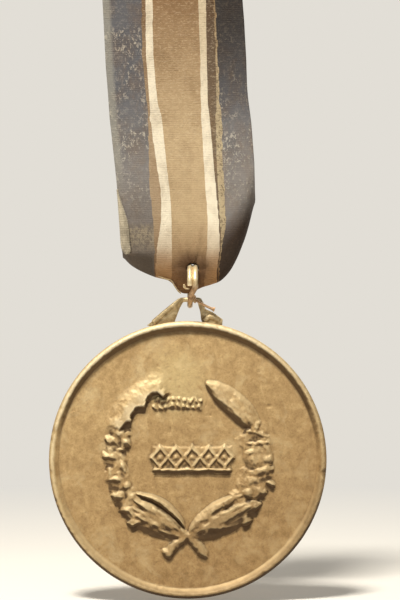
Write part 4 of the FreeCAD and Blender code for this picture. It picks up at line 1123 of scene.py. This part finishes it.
FLOOR_Z = DISC_LOW[2] - 0.6
FLOOR_SIZE = 8.0                                # metres
PAPER = (226, 222, 214)
BACKDROP = paint(*PAPER)
FADE_START, FADE_END = 60, 260                  # distances over which the floor becomes the backdrop
bpy.ops.mesh.primitive_plane_add(size=FLOOR_SIZE, location=(0, 0, FLOOR_Z * MM))
floor = bpy.context.object
floor.name = "pale_floor"
paper = Finish("floor_paper")
paper.colour = paper.ramp(paper.noise(60.0, 2.0), [(0.3, (224, 220, 212)), (0.7, PAPER)])
dress(floor, paper.finish(0.9))
distance = paper.node("VectorMath", {0: paper.place}, operation="LENGTH").outputs["Value"]
plain = paper.node("Emission", {"Color": BACKDROP}).outputs[0]
far = paper.range(distance, FADE_START, FADE_END)
surface = paper.node("MixShader", {0: far, 1: paper.shader.outputs[0], 2: plain}).outputs[0]
paper.wire(paper.tree.nodes["Material Output"], {"Surface": surface})

LIT_MIDDLE = np.array([0, 0, 25.0])             # what every lamp points at


def area_light(name, direction, distance, size, power, colour):
    """Soft square light that shines on the middle of the object from a direction."""
    light = bpy.data.lights.new(name, "AREA")
    light.size = size * MM
    light.energy = power
    light.color = colour
    holder = bpy.data.objects.new(name, light)
    bpy.context.scene.collection.objects.link(holder)
    toward = np.array(direction) / np.linalg.norm(direction)
    holder.location = ((LIT_MIDDLE + toward * distance) * MM).tolist()
    aim = holder.location - Vector((LIT_MIDDLE * MM).tolist())
    holder.rotation_euler = aim.to_track_quat("Z", "Y").to_euler()


area_light("key", (-0.22, -0.46, 0.86), 600, 110, 5.6, (1.0, 0.96, 0.88))
area_light("fill", (0.5, -1.0, 0.15), 700, 500, 0.5, (1.0, 0.97, 0.92))
area_light("back", (0.3, 1.0, 0.7), 700, 400, 2.0, (1.0, 0.97, 0.92))

# The camera sees the plain backdrop, while the object is lit by a dimmer sky.
world = bpy.data.worlds.new("studio")
bpy.context.scene.world = world
world.use_nodes = True
sky = world.node_tree
ray = sky.nodes.new("ShaderNodeLightPath")
seen = sky.nodes.new("ShaderNodeBackground")
lit = sky.nodes["Background"]
seen.inputs["Color"].default_value = BACKDROP
lit.inputs["Color"].default_value = paint(232, 226, 214)
lit.inputs["Strength"].default_value = 0.22
choose = sky.nodes.new("ShaderNodeMixShader")
sky.links.new(ray.outputs["Is Camera Ray"], choose.inputs[0])
sky.links.new(lit.outputs[0], choose.inputs[1])
sky.links.new(seen.outputs[0], choose.inputs[2])
sky.links.new(choose.outputs[0], sky.nodes["World Output"].inputs["Surface"])

VIEW_X, VIEW_Z = 2.2, 28.8                      # point that the camera looks at straight on
VIEW_HEIGHT = 108.7                             # height that it takes in at the object
CAMERA_DISTANCE = 420.0
lens = bpy.data.cameras.new("front_view")
lens.sensor_width = 36.0
lens.lens = lens.sensor_width * CAMERA_DISTANCE / VIEW_HEIGHT
lens.clip_start = 0.01
camera = bpy.data.objects.new("front_view", lens)
camera.location = (VIEW_X * MM, -CAMERA_DISTANCE * MM, VIEW_Z * MM)
camera.rotation_euler = (math.radians(90), 0, 0)
bpy.context.scene.collection.objects.link(camera)
bpy.context.scene.camera = camera
bpy.context.scene.view_settings.view_transform = "Standard"

bpy.context.view_layer.update()
